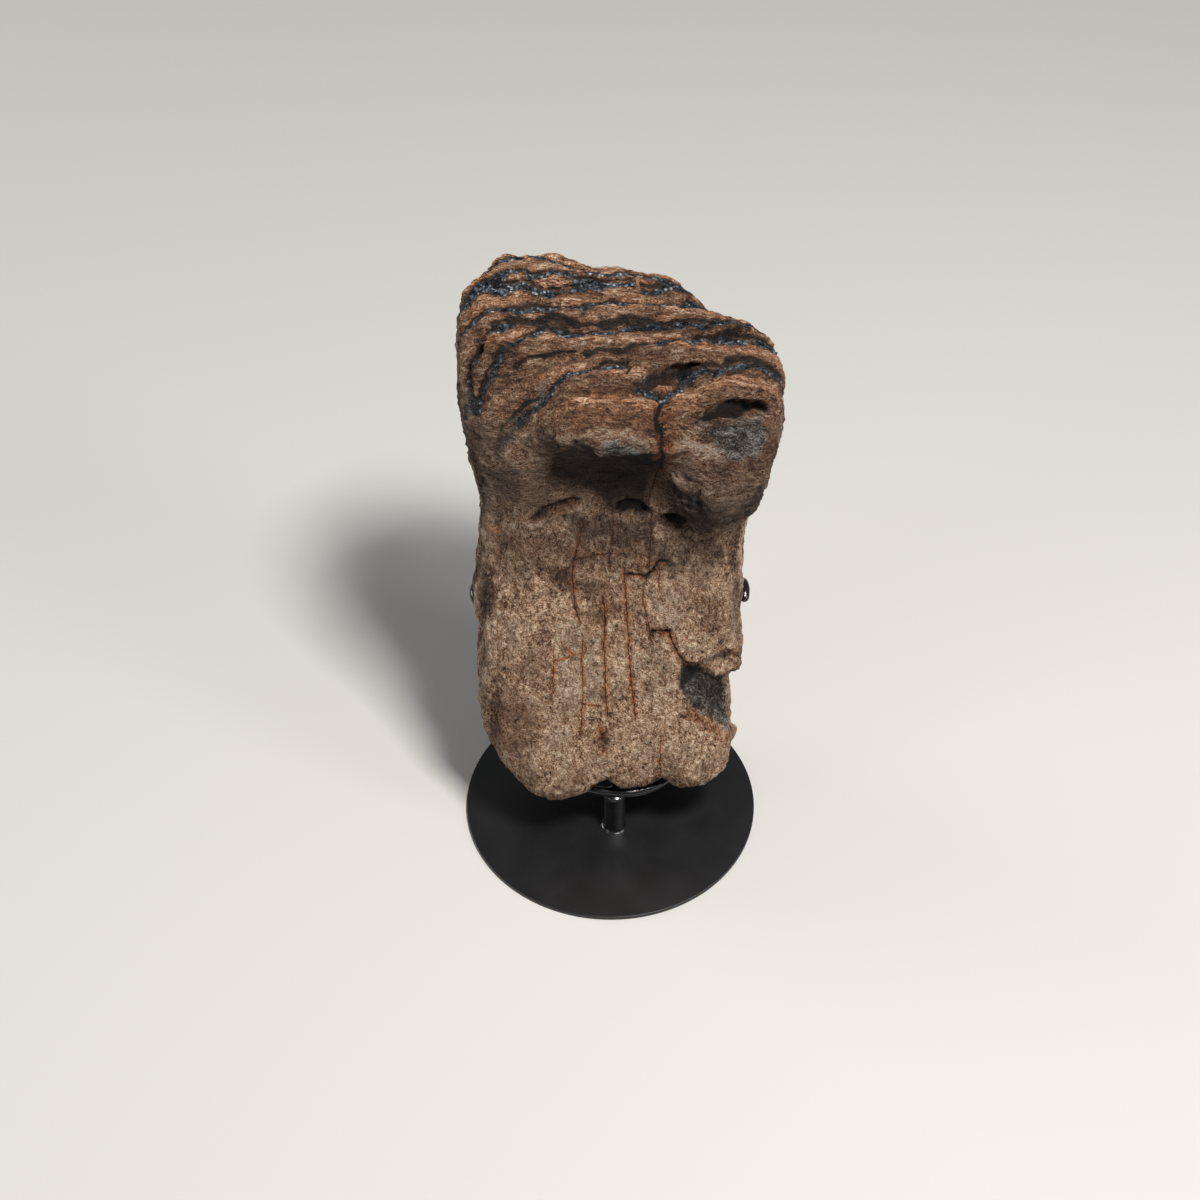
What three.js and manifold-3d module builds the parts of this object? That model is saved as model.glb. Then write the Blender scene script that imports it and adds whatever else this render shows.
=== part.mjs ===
// Fossil mammoth molar held upright on a black steel display stand.
//
// Millimetres, +Z up. The origin is the centre of the stand's underside, on the table.
// +X is the tooth's right as one faces its front end, and +Y runs back along the row of enamel plates.
//
// The tooth is one solid: a tall block of upright enamel plates, set one behind the other and bound by
// cementum. Its worn chewing face is on top and its lobed root end hangs just above the stand.
// The stand is a round plate, a short post, one bent rod whose two ends grip the tooth's sides, and a
// second bent rod that runs back under the tooth and holds it from behind.
import * as THREE from "three";
import { mergeVertices } from "three/addons/utils/BufferGeometryUtils.js";
import Module from "manifold-3d";

const wasm = await Module();
wasm.setup();

// ---------------------------------------------------------------------------------------------
// Driving dimensions

const stand = {
  discRadius: 50.8, // a 4 inch round plate
  discThickness: 1.5,
  discSides: 48,
  postRadius: 3.75,
  postX: 1.5,
  postY: -10.4,
  postSides: 16,
  rodRadius: 1.6, // 1/8 inch rod
  sideRodY: -11.4, // where the side rod crosses the post's top
  rodSides: 8,
  rodStep: 5.2, // length of rod between two rings of its mesh
  rodGap: 0.25, // between the post and the rods, and from rod to rod, where they are welded
};
const rodAxisHeight = 20.3; // where the rods cross the post
const postTop = rodAxisHeight - stand.rodRadius - stand.rodGap;

const tooth = {
  columns: 20, // faces across, front to back and up the block
  plateFaces: 26,
  rows: 30,
  footRounding: 9, // superellipsoid powers: low ones round the block's rims more
  crownRounding: 14,
  outlineRounding: 4.2,
  seat: 22.2, // height of its underside, just above the rods
  clearance: 0.3, // between it and the rods that are bedded in it
};
const plate = { period: 12.2, firstY: 21.5, ribHeight: 1.2, crestHeight: 1.4, footGroove: 2.6 };
const backFlute = { period: 18.5, depth: 1.6 };
const backTaper = 0.2; // how much narrower its lower part is at the back than at the front
const leftChip = { depth: 3.6, at: [12, 78], radii: [11, 5] }; // in y and z, where the left prong grips
const crown = { height: 176.5, riseToBack: 0.22, fallToRight: 0.12 }; // the chewing face, at x = y = 0

// ---------------------------------------------------------------------------------------------
// Small helpers

// 0 below a, 1 above b, smooth between them; a may be the larger.
function ramp(a, b, v) {
  const t = THREE.MathUtils.clamp((v - a) / (b - a), 0, 1);
  return t * t * (3 - 2 * t);
}

// A smooth curve through [position, value] points, level beyond its ends.
function curveThrough(points) {
  const slope = points.map((p, i) => {
    const before = points[Math.max(i - 1, 0)];
    const after = points[Math.min(i + 1, points.length - 1)];
    return (after[1] - before[1]) / (after[0] - before[0]);
  });
  return (at) => {
    const i = points.findIndex((p) => at < p[0]);
    if (i === 0) return points[0][1];
    if (i < 0) return points[points.length - 1][1];
    const [x0, y0] = points[i - 1];
    const [x1, y1] = points[i];
    const span = x1 - x0;
    const t = (at - x0) / span;
    const h = t * t * (3 - 2 * t);
    return (
      y0 + (y1 - y0) * h + span * (t * (1 - t) * (1 - t) * slope[i - 1] - t * t * (1 - t) * slope[i])
    );
  };
}

// 1 where (u, v) is at the given place, falling off round it like a bell with the two given radii.
function bell(u, v, at, radii) {
  return Math.exp(-(((u - at[0]) / radii[0]) ** 2) - ((v - at[1]) / radii[1]) ** 2);
}

function solidOf(geometry) {
  const plain = geometry.index ? geometry : mergeVertices(geometry);
  const bare = new THREE.BufferGeometry();
  bare.setAttribute("position", plain.getAttribute("position"));
  bare.setIndex(plain.index);
  const merged = mergeVertices(bare, 1e-4);
  return new wasm.Manifold(
    new wasm.Mesh({
      numProp: 3,
      vertProperties: new Float32Array(merged.attributes.position.array),
      triVerts: new Uint32Array(merged.index.array),
    }),
  );
}

function geometryOf(solid) {
  const mesh = solid.getMesh();
  const geometry = new THREE.BufferGeometry();
  geometry.setAttribute("position", new THREE.BufferAttribute(new Float32Array(mesh.vertProperties), 3));
  geometry.setIndex(new THREE.BufferAttribute(new Uint32Array(mesh.triVerts), 1));
  geometry.computeVertexNormals();
  return geometry;
}

function namedMesh(name, geometry, material) {
  const mesh = new THREE.Mesh(geometry, material);
  mesh.name = name;
  return mesh;
}

const vector = (x, y, z) => new THREE.Vector3(x, y, z);

// ---------------------------------------------------------------------------------------------
// The tooth's block. Heights are above the table.

// Its widest reach to each side, up its height.
const leftSide = curveThrough([
  [18, -33.5], [27, -38.8], [38, -42], [52, -44.6], [69, -44.8], [92, -45], [108, -43.8],
  [126, -42.6], [138, -43.8], [150, -46.2], [164, -48.2], [190, -50.5],
]);
const rightSide = curveThrough([
  [18, 38.5], [27, 43], [38, 44], [52, 43.5], [66, 44.4], [84, 43.4],
  [96, 43.8], [112, 43], [120, 43.6], [128, 45], [138, 47.2], [152, 50.6], [168, 54.6], [186, 54],
]);
// Its front face, in three upright lines: a foot that juts out, a waist, and the head above it.
const frontLines = {
  left: curveThrough([
    [18, -14], [28, -16.5], [45, -16], [62, -12.5], [80, -8], [100, -3], [118, 1.5], [130, 4.5],
    [142, 7], [152, 9.5], [160, 11.5], [170, 13],
  ]),
  middle: curveThrough([
    [18, -12], [25, -16], [34, -16], [45, -13.5], [60, -9], [80, -3.5], [100, 1], [118, 5.5],
    [128, 8.5], [136, 11.5], [146, 11], [156, 7.5], [164, 3], [170, -0.5], [180, 0],
  ]),
  right: curveThrough([
    [18, -11], [26, -15], [38, -14.5], [55, -10], [76, -4.5], [98, 0.5], [114, 3.5], [124, 5.5],
    [130, 4], [136, 0], [144, -4], [152, -5], [160, -3], [168, 1.5], [176, 7],
  ]),
};
const backLine = curveThrough([[18, 40], [34, 48], [60, 53], [95, 58], [130, 63], [165, 68], [195, 69]]);

const notches = [
  { x: -2.6, depth: 7.5, halfWidth: 5 },
  { x: 17.5, depth: 6.5, halfWidth: 4.5 },
];

function frontSide(x, z) {
  const left = ramp(-6, -32, x);
  const right = ramp(12, 34, x);
  let y = frontLines.left(z) * left + frontLines.right(z) * right;
  y += frontLines.middle(z) * (1 - left - right);
  y -= 5 * bell(x, z, [-20, 30], [12, 20]); // the left root lobe
  y -= 1.5 * bell(x, z, [30, 30], [9, 12]); // the right one
  y += 2.2 * bell(x, z, [6, 84], [11, 34]); // a broad flute up the middle
  y += 5 * bell(x, z, [-6, 152], [17, 9]); // hollow under the brow
  y += 4 * bell(x, z, [42, 160], [11, 4.5]); // slot in the cheek
  for (const notch of notches) {
    y += 3 * bell(x, z, [notch.x, 20], [2.8, 12]);
  }
  return y;
}

// How far the back is cut away towards its right corner.
const cutCorner = curveThrough([[-14, 0], [0, 1.5], [15, 4], [28, 9.5], [37, 14], [47, 15.5], [56, 15]]);

function backSide(x, z) {
  const flute = 0.5 - 0.5 * Math.cos((2 * Math.PI * (x - stand.postX)) / backFlute.period);
  const corners = cutCorner(x) * ramp(60, 170, z) + 5 * ramp(-30, -52, x);
  return backLine(z) - corners - backFlute.depth * flute;
}

// 1 on the middle of a cementum band, -1 between two of them. The bands lean and bow a little.
function bandPhase(x, y) {
  const straightened = y - 0.06 * x + 3 * (x / 50) ** 2;
  return Math.cos((2 * Math.PI * (straightened - plate.firstY)) / plate.period);
}

function crownHeight(x, y) {
  let z = crown.height + crown.riseToBack * y - crown.fallToRight * x;
  z -= 9 * ramp(26, -4, y) * ramp(10, 34, x); // it rolls over into the right cheek
  z -= 25 * ramp(36, 6, y) * ramp(-6, -42, x); // and slopes down to the left front corner
  z -= 4 * ramp(10, -4, y);
  z -= 5 * ramp(-36, -52, x);
  z -= 7 * bell(x, y, [23, 24], [9, 5]); // hollow behind the brow
  return z + plate.crestHeight * bandPhase(x, y) * ramp(10, 18, y);
}

function footHeight(x, y) {
  let z = tooth.seat;
  z -= 2 * ramp(-2, -10, y);
  z -= 4.5 * bell(x, y, [-20, -20], [13, 9]); // the left root lobe hangs lowest
  z += plate.footGroove * (0.5 - 0.5 * bandPhase(x, y)) * ramp(-4, 4, y);
  for (const notch of notches) {
    const beside = Math.abs(x - notch.x) / notch.halfWidth;
    z += notch.depth * (1 - ramp(0, 1, beside)) * (0.4 + 0.6 * ramp(4, -6, y));
  }
  return z;
}

// How the block's columns and rows are spread: columns meet the notches, and rows crowd in the head.
const columnSpread = curveThrough([[-1, 0], [-0.1, 0.462], [0.3, 0.676], [1, 1]]);
const rowSpread = curveThrough([[-1, 0], [0.1, 0.6], [1, 1]]);

// Where a point of the block's surface goes. The point comes as its place on a rounded block that
// reaches from -1 to 1 each way. Each pass brings it closer to the surface that it belongs on.
function toothPoint(p) {
  const { lerp } = THREE.MathUtils;
  const at = vector(50 * p.x, 30 + 36 * p.y, 0);
  for (let pass = 0; pass < 4; pass++) {
    at.z = lerp(footHeight(at.x, at.y), crownHeight(at.x, at.y), rowSpread(p.z));
    const taper = 1 - backTaper * ramp(14, 60, at.y) * (1 - ramp(95, 130, at.z));
    at.x = lerp(leftSide(at.z), rightSide(at.z), columnSpread(p.x)) * taper;
    at.y = lerp(frontSide(at.x, at.z), backSide(at.x, at.z), (p.y + 1) / 2);
  }
  const rib = Math.abs(p.x) ** 6 * ramp(26, 40, at.z) * (1 - ramp(164, 178, at.z)) * ramp(4, 14, at.y);
  at.x += Math.sign(p.x) * rib * plate.ribHeight * bandPhase(at.x, at.y);
  at.x += leftChip.depth * bell(at.y, at.z, leftChip.at, leftChip.radii) * ramp(-0.7, -0.95, p.x);
  return at;
}

function toothBlock() {
  const block = new THREE.BoxGeometry(2, 2, 2, tooth.columns, tooth.plateFaces, tooth.rows);
  block.deleteAttribute("normal");
  block.deleteAttribute("uv");
  const shape = mergeVertices(block, 1e-4);
  const places = shape.getAttribute("position");
  for (let i = 0; i < places.count; i++) {
    const p = vector(places.getX(i), places.getY(i), places.getZ(i));
    const round = tooth.outlineRounding;
    const up = p.z > 0 ? tooth.crownRounding : tooth.footRounding;
    const girth = Math.abs(p.x) ** round + Math.abs(p.y) ** round;
    p.divideScalar((girth ** (up / round) + Math.abs(p.z) ** up) ** (1 / up));
    const placed = toothPoint(p);
    places.setXYZ(i, placed.x, placed.y, placed.z);
  }
  return shape;
}

// A flake that has broken off: everything outside a flat scar, within an outline drawn on the scar.
// At no turn the scar faces the front, and its floor comes forward by the tilt as it goes down.
function flake(outline, at, turn, tilt) {
  const shape = new THREE.Shape(outline.map(([across, up]) => new THREE.Vector2(across, up)));
  const geometry = new THREE.ExtrudeGeometry(shape, { depth: 40, bevelEnabled: false });
  geometry.rotateX(Math.PI / 2 - tilt);
  geometry.rotateZ(turn);
  geometry.translate(...at);
  return geometry;
}

// The skin of cementum is broken off low on the right, below a ledge that drops away to the back.
const flakes = [
  flake(
    [
      [-10, 1.5], [-12, -5], [-10, -15], [-3, -25], [6, -28],
      [20, -28], [20, -6], [10, -4], [6, -1], [-2, 0],
    ],
    [30, 1.5, 77],
    Math.PI / 4,
    0.41,
  ),
  flake(
    [
      [-12, 0], [-12, -14], [-6, -24], [6, -34], [20, -46], [34, -52],
      [34, -34], [22, -25], [10, -12], [0, 0], [-6, 6],
    ],
    [38.8, 8, 62],
    Math.PI / 2,
    0.09,
  ),
];

// ---------------------------------------------------------------------------------------------
// The stand's bent rods: the points that their centre lines pass through.

const sideRodPoints = [
  vector(-41.6, 12, 80.4),
  vector(-43.8, 16, 83.6),
  vector(-46, 21.5, 85.2),
  vector(-45, 28, 83.4),
  vector(-42.4, 34, 77),
  vector(-40.8, 37.5, 66),
  vector(-40.2, 38.5, 50),
  vector(-37.8, 36.5, 36),
  vector(-32.5, 26.5, 24.6),
  vector(-26, 13, 20.6),
  vector(-18, -1, rodAxisHeight),
  vector(-9, -9, rodAxisHeight),
  vector(stand.postX, stand.sideRodY, rodAxisHeight),
  vector(12, -10.2, rodAxisHeight),
  vector(21, -4, rodAxisHeight),
  vector(29.5, 10, 20.9),
  vector(37.2, 25, 25),
  vector(41, 35, 36),
  vector(41.6, 38, 50),
  vector(42.2, 37.5, 66),
  vector(44, 33.5, 78),
  vector(45, 29, 82.5),
  vector(45.3, 25, 83),
  vector(44.8, 21.5, 81),
];
const backRodPoints = [
  vector(stand.postX, stand.sideRodY + 2 * stand.rodRadius + stand.rodGap, rodAxisHeight),
  vector(stand.postX, 12, rodAxisHeight),
  vector(stand.postX, 36, rodAxisHeight),
  vector(stand.postX, 43.5, 23),
  vector(stand.postX, 48.5, 30),
  vector(stand.postX, 51.6, 40),
  vector(stand.postX, 55.2, 60),
  vector(stand.postX, 57.4, 76),
  vector(stand.postX, 57.6, 81),
];

function rodGeometry(points, radius) {
  const path = new THREE.CatmullRomCurve3(points, false, "centripetal");
  const section = new THREE.Shape();
  for (let i = 0; i < stand.rodSides; i++) {
    const angle = (2 * Math.PI * (i + 0.5)) / stand.rodSides;
    const corner = [radius * Math.cos(angle), radius * Math.sin(angle)];
    if (i === 0) section.moveTo(...corner);
    else section.lineTo(...corner);
  }
  section.closePath();
  return new THREE.ExtrudeGeometry(section, {
    steps: Math.round(path.getLength() / stand.rodStep),
    extrudePath: path,
    bevelEnabled: false,
  });
}

// ---------------------------------------------------------------------------------------------
// The whole

const fossil = new THREE.MeshStandardMaterial({ name: "fossil", color: 0x9a7659, roughness: 0.85 });
const blackSteel = new THREE.MeshStandardMaterial({ name: "black_steel", color: 0x141416, roughness: 0.42 });

function displayStand() {
  const group = new THREE.Group();
  const { discRadius, discThickness, discSides } = stand;
  const disc = new THREE.CylinderGeometry(discRadius, discRadius, discThickness, discSides);
  const base = namedMesh("base_plate", disc, blackSteel);
  base.rotation.x = Math.PI / 2;
  base.position.z = stand.discThickness / 2;
  group.add(base);

  const height = postTop - stand.discThickness;
  const bar = new THREE.CylinderGeometry(stand.postRadius, stand.postRadius, height, stand.postSides);
  const post = namedMesh("post", bar, blackSteel);
  post.rotation.x = Math.PI / 2;
  post.position.set(stand.postX, stand.postY, stand.discThickness + height / 2);
  group.add(post);

  group.add(namedMesh("side_prong_rod", rodGeometry(sideRodPoints, stand.rodRadius), blackSteel));
  group.add(namedMesh("back_prong_rod", rodGeometry(backRodPoints, stand.rodRadius), blackSteel));
  return group;
}

function mammothMolar() {
  let solid = solidOf(toothBlock());
  for (const broken of flakes) {
    solid = solid.subtract(solidOf(broken));
  }
  for (const points of [sideRodPoints, backRodPoints]) {
    solid = solid.subtract(solidOf(rodGeometry(points, stand.rodRadius + tooth.clearance)));
  }
  return namedMesh("mammoth_molar", geometryOf(solid), fossil);
}

const specimen = new THREE.Group();
specimen.add(displayStand());
specimen.add(mammothMolar());

export default specimen;
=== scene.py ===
import math

import bmesh
import bpy
import numpy as np
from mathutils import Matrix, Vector, noise


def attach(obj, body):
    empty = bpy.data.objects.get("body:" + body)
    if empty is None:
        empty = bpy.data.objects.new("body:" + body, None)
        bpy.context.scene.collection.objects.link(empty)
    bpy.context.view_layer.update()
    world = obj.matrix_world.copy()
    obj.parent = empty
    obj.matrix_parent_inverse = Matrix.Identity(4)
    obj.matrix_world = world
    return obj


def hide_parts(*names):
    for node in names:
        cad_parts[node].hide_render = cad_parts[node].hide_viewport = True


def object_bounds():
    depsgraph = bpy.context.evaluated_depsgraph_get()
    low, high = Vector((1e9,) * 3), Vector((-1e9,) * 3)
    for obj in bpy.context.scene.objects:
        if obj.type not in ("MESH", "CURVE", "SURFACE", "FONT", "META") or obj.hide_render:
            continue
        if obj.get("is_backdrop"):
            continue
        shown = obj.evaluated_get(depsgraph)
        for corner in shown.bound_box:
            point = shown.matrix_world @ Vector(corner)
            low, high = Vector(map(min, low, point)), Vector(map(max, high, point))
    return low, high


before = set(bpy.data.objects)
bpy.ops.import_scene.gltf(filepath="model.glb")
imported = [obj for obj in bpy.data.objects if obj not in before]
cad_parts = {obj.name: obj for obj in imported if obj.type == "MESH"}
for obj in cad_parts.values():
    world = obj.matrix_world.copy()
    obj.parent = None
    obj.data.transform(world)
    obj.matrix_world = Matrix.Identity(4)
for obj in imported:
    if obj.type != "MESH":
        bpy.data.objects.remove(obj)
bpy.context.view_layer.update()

# ---------------------------------------------------------------------------------------------
# The base plate: a round disc of 1.5 mm mild steel, 4 inches across. It is laser cut, its rim is
# broken with a file, and it is powder coated black, which leaves a fine, slightly open grain.

DISC_RADIUS = 50.8  # mm
DISC_THICKNESS = 1.5
RIM_BREAK = 0.28  # radius of the filed edge
DISC_STEPS = 256  # faces round its rim
POWDER_GRAIN = 0.45  # mm between the coat's bumps; real ones are half that
POWDER_CLOUDS = 18  # mm between its duller and its glossier places


def linear(hex_colour):
    """A colour written as sRGB hex, as the linear colour that a shader takes."""
    parts = [int(hex_colour[i : i + 2], 16) / 255 for i in (1, 3, 5)]
    return (*[c / 12.92 if c <= 0.04045 else ((c + 0.055) / 1.055) ** 2.4 for c in parts], 1.0)


def add_node(tree, kind, settings=None, links=None):
    """Adds a node. Settings are its own values; links give its inputs, as numbers or as sockets."""
    node = tree.nodes.new(kind)
    for name, value in (settings or {}).items():
        setattr(node, name, value)
    for key, value in (links or {}).items():
        if isinstance(value, bpy.types.Node):
            value = next(s for s in value.outputs if s.enabled)
        if isinstance(value, bpy.types.NodeSocket):
            tree.links.new(value, node.inputs[key])
        else:
            node.inputs[key].default_value = value
    return node


def new_material(name):
    """An empty material with its shader and output, and Object coordinates in metres."""
    material = bpy.data.materials.new(name)
    material.use_nodes = True
    tree = material.node_tree
    tree.nodes.clear()
    shader = add_node(tree, "ShaderNodeBsdfPrincipled")
    add_node(tree, "ShaderNodeOutputMaterial", links={"Surface": shader})
    place = add_node(tree, "ShaderNodeTexCoord").outputs["Object"]
    return material, tree, shader, place


def turned(name, profile, centre, steps, material):
    """A solid turned round the upright line through centre (x, y), from a profile in mm of
    (radius, height) that starts and ends on that line."""
    bm = bmesh.new()
    rings = []
    for radius, height in profile:
        if radius == 0:
            rings.append([bm.verts.new((centre[0] / 1000, centre[1] / 1000, height / 1000))])
            continue
        ring = []
        for i in range(steps):
            angle = 2 * math.pi * i / steps
            x = centre[0] + radius * math.cos(angle)
            y = centre[1] + radius * math.sin(angle)
            ring.append(bm.verts.new((x / 1000, y / 1000, height / 1000)))
        rings.append(ring)
    for low, high in zip(rings, rings[1:]):
        for i in range(steps):
            j = i + 1
            corners = [low[i % len(low)], low[j % len(low)], high[j % len(high)], high[i % len(high)]]
            bm.faces.new(list(dict.fromkeys(corners)))
    bmesh.ops.recalc_face_normals(bm, faces=bm.faces)
    for face in bm.faces:
        face.smooth = True
    mesh = bpy.data.meshes.new(name)
    bm.to_mesh(mesh)
    bm.free()
    mesh.materials.append(material)
    piece = bpy.data.objects.new(name, mesh)
    bpy.context.scene.collection.objects.link(piece)
    return piece


def rounded(points, radius, steps=5):
    """The profile with each of its inner corners rounded."""
    out = [points[0]]
    for before, here, after in zip(points, points[1:], points[2:]):
        here = Vector(here)
        start = here + (Vector(before) - here).normalized() * radius
        end = here + (Vector(after) - here).normalized() * radius
        for i in range(steps + 1):
            t = i / steps
            out.append(tuple(start * (1 - t) ** 2 + here * 2 * t * (1 - t) + end * t**2))
    return out + [points[-1]]


# Black powder coat: a satin plastic skin, dark all over, with a soft sheen broken up by its grain.
powder_coat, tree, shader, place = new_material("black_powder_coat")
shader.inputs["Base Color"].default_value = linear("#09090b")
shader.inputs["IOR"].default_value = 1.5
grain = add_node(
    tree, "ShaderNodeTexNoise", links={"Vector": place, "Scale": 1000 / POWDER_GRAIN, "Detail": 2.0}
)
clouds = add_node(
    tree, "ShaderNodeTexNoise", links={"Vector": place, "Scale": 1000 / POWDER_CLOUDS, "Detail": 3.0}
)
sheen = add_node(
    tree,
    "ShaderNodeMapRange",
    links={"Value": clouds, "From Min": 0.3, "From Max": 0.7, "To Min": 0.36, "To Max": 0.46},
)
relief = add_node(tree, "ShaderNodeBump", links={"Strength": 0.35, "Distance": 0.00006, "Height": grain})
tree.links.new(sheen.outputs[0], shader.inputs["Roughness"])
tree.links.new(relief.outputs[0], shader.inputs["Normal"])

disc_profile = [(0, 0), (DISC_RADIUS, 0), (DISC_RADIUS, DISC_THICKNESS), (0, DISC_THICKNESS)]
base_disc = turned("base_disc", rounded(disc_profile, RIM_BREAK), (0, 0), DISC_STEPS, powder_coat)
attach(base_disc, "root")
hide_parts("base_plate")

# ---------------------------------------------------------------------------------------------
# The post: 7.5 mm round steel bar, cut square and welded upright on the plate, in front of its
# centre. The welds at its foot and under the rods are ground to small hollow fillets.

POST_RADIUS = 3.75  # mm
POST_AT = (1.5, -10.4)
ROD_RADIUS = 1.6  # 1/8 inch rod
POST_STEPS = 64  # faces round it
ROD_AXIS_HEIGHT = 20.3  # where the rods cross the post
BRUSH_MARKS = 2.2  # mm between the marks left in the paint

# Black enamel on bar and rod: brushed on and glossy, so it takes long bright highlights.
enamel_paint, tree, shader, place = new_material("black_gloss_enamel_paint")
shader.inputs["Base Color"].default_value = linear("#09090b")
shader.inputs["IOR"].default_value = 1.5
shader.inputs["Coat Weight"].default_value = 0.4
shader.inputs["Coat Roughness"].default_value = 0.12
peel = add_node(
    tree, "ShaderNodeTexNoise", links={"Vector": place, "Scale": 1000 / BRUSH_MARKS, "Detail": 2.0}
)
dulled = add_node(
    tree,
    "ShaderNodeMapRange",
    links={"Value": peel, "From Min": 0.35, "From Max": 0.7, "To Min": 0.2, "To Max": 0.3},
)
relief = add_node(tree, "ShaderNodeBump", links={"Strength": 0.3, "Distance": 0.0001, "Height": peel})
tree.links.new(dulled.outputs[0], shader.inputs["Roughness"])
tree.links.new(relief.outputs[0], shader.inputs["Normal"])

foot = DISC_THICKNESS
weld_top = ROD_AXIS_HEIGHT - 0.5 * ROD_RADIUS
foot_weld = [(POST_RADIUS + 1.1, foot), (POST_RADIUS + 0.35, foot + 0.45), (POST_RADIUS, foot + 1.3)]
top_weld = [(POST_RADIUS, weld_top - 2.2), (POST_RADIUS - 0.3, weld_top - 0.6), (2.2, weld_top)]
post_profile = [(0, foot), *foot_weld, *top_weld, (0, weld_top)]
post = turned("welded_post", rounded(post_profile, 0.3, 3), POST_AT, POST_STEPS, enamel_paint)
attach(post, "root")
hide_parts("post")

# ---------------------------------------------------------------------------------------------
# The prong rods: two lengths of 1/8 inch steel rod, bent cold to follow the tooth. One crosses the
# post and comes up on both sides to grip it; the other runs back under it and up behind.

side_rod_points = [
    (-41.6, 12, 80.4), (-43.8, 16, 83.6), (-46, 21.5, 85.2), (-45, 28, 83.4), (-42.4, 34, 77),
    (-40.8, 37.5, 66), (-40.2, 38.5, 50), (-37.8, 36.5, 36), (-32.5, 26.5, 24.6), (-26, 13, 20.6),
    (-18, -1, 20.3), (-9, -9, 20.3), (1.5, -11.4, 20.3), (12, -10.2, 20.3), (21, -4, 20.3),
    (29.5, 10, 20.9), (37.2, 25, 25), (41, 35, 36), (41.6, 38, 50), (42.2, 37.5, 66),
    (44, 33.5, 78), (45, 29, 82.5), (45.3, 25, 83), (44.8, 21.5, 81),
]
back_rod_points = [
    (1.5, -7.95, 20.3), (1.5, 12, 20.3), (1.5, 36, 20.3), (1.5, 43.5, 23), (1.5, 48.5, 30),
    (1.5, 51.6, 40), (1.5, 55.2, 60), (1.5, 57.4, 76), (1.5, 57.6, 81),
]


def smooth_path(points, step=0.8):
    """Points in mm about a step apart on a centripetal spline through the given ones."""
    p = [Vector(q) for q in points]
    p = [p[0] * 2 - p[1], *p, p[-1] * 2 - p[-2]]
    path = []
    for a, b, c, d in zip(p, p[1:], p[2:], p[3:]):
        ta = 0.0
        tb = ta + max((b - a).length, 1e-6) ** 0.5
        tc = tb + max((c - b).length, 1e-6) ** 0.5
        td = tc + max((d - c).length, 1e-6) ** 0.5
        count = max(2, round((c - b).length / step))
        for i in range(count):
            t = tb + (tc - tb) * i / count
            ab = a * ((tb - t) / (tb - ta)) + b * ((t - ta) / (tb - ta))
            bc = b * ((tc - t) / (tc - tb)) + c * ((t - tb) / (tc - tb))
            cd = c * ((td - t) / (td - tc)) + d * ((t - tc) / (td - tc))
            abc = ab * ((tc - t) / (tc - ta)) + bc * ((t - ta) / (tc - ta))
            bcd = bc * ((td - t) / (td - tb)) + cd * ((t - tb) / (td - tb))
            path.append(abc * ((tc - t) / (tc - tb)) + bcd * ((t - tb) / (tc - tb)))
    return path + [Vector(points[-1])]


def new_tree(name, inputs):
    """A Geometry Nodes tree with a geometry in and out, and these inputs as (name, kind, value)."""
    tree = bpy.data.node_groups.new(name, "GeometryNodeTree")
    tree.interface.new_socket("Geometry", in_out="INPUT", socket_type="NodeSocketGeometry")
    for label, kind, value in inputs:
        socket = tree.interface.new_socket(label, in_out="INPUT", socket_type=kind)
        if value is not None:
            socket.default_value = value
    tree.interface.new_socket("Geometry", in_out="OUTPUT", socket_type="NodeSocketGeometry")
    return tree, tree.nodes.new("NodeGroupInput").outputs


def baked(name, source, tree, values):
    """The plain mesh that a tree makes of an object, as a new object; the source is removed."""
    modifier = source.modifiers.new(tree.name, "NODES")
    modifier.node_group = tree
    for item in tree.interface.items_tree:
        if item.item_type == "SOCKET" and item.in_out == "INPUT" and item.name in values:
            modifier[item.identifier] = values[item.name]
    bpy.context.view_layer.update()
    evaluated = source.evaluated_get(bpy.context.evaluated_depsgraph_get())
    mesh = bpy.data.meshes.new_from_object(evaluated)
    mesh.name = name
    source.modifiers.remove(modifier)
    bpy.data.objects.remove(source)
    piece = bpy.data.objects.new(name, mesh)
    bpy.context.scene.collection.objects.link(piece)
    return piece


# A rod swept along its path, with both cut ends filed round.
rod_tree, given = new_tree(
    "bent_rod",
    [
        ("Radius", "NodeSocketFloat", ROD_RADIUS / 1000),
        ("Sides", "NodeSocketInt", 28),
        ("Ring spacing", "NodeSocketFloat", 0.0004),
        ("Tip girth", "NodeSocketFloat", 0.12),
        ("Paint", "NodeSocketMaterial", None),
    ],
)
path = add_node(
    rod_tree,
    "GeometryNodeResampleCurve",
    {"mode": "LENGTH"},
    {"Curve": given["Geometry"], "Length": given["Ring spacing"]},
)
length = add_node(rod_tree, "GeometryNodeSplineLength").outputs["Length"]
along = add_node(rod_tree, "GeometryNodeSplineParameter").outputs["Length"]
left = add_node(rod_tree, "ShaderNodeMath", {"operation": "SUBTRACT"}, {0: length, 1: along})
nearest = add_node(rod_tree, "ShaderNodeMath", {"operation": "MINIMUM"}, {0: along, 1: left})
tip = add_node(
    rod_tree,
    "ShaderNodeMath",
    {"operation": "DIVIDE", "use_clamp": True},
    {0: nearest, 1: given["Radius"]},
)
short = add_node(rod_tree, "ShaderNodeMath", {"operation": "SUBTRACT"}, {0: 1.0, 1: tip})
square = add_node(rod_tree, "ShaderNodeMath", {"operation": "POWER"}, {0: short, 1: 2.0})
rest = add_node(rod_tree, "ShaderNodeMath", {"operation": "SUBTRACT"}, {0: 1.0, 1: square})
girth = add_node(rod_tree, "ShaderNodeMath", {"operation": "SQRT"}, {0: rest})
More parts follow.
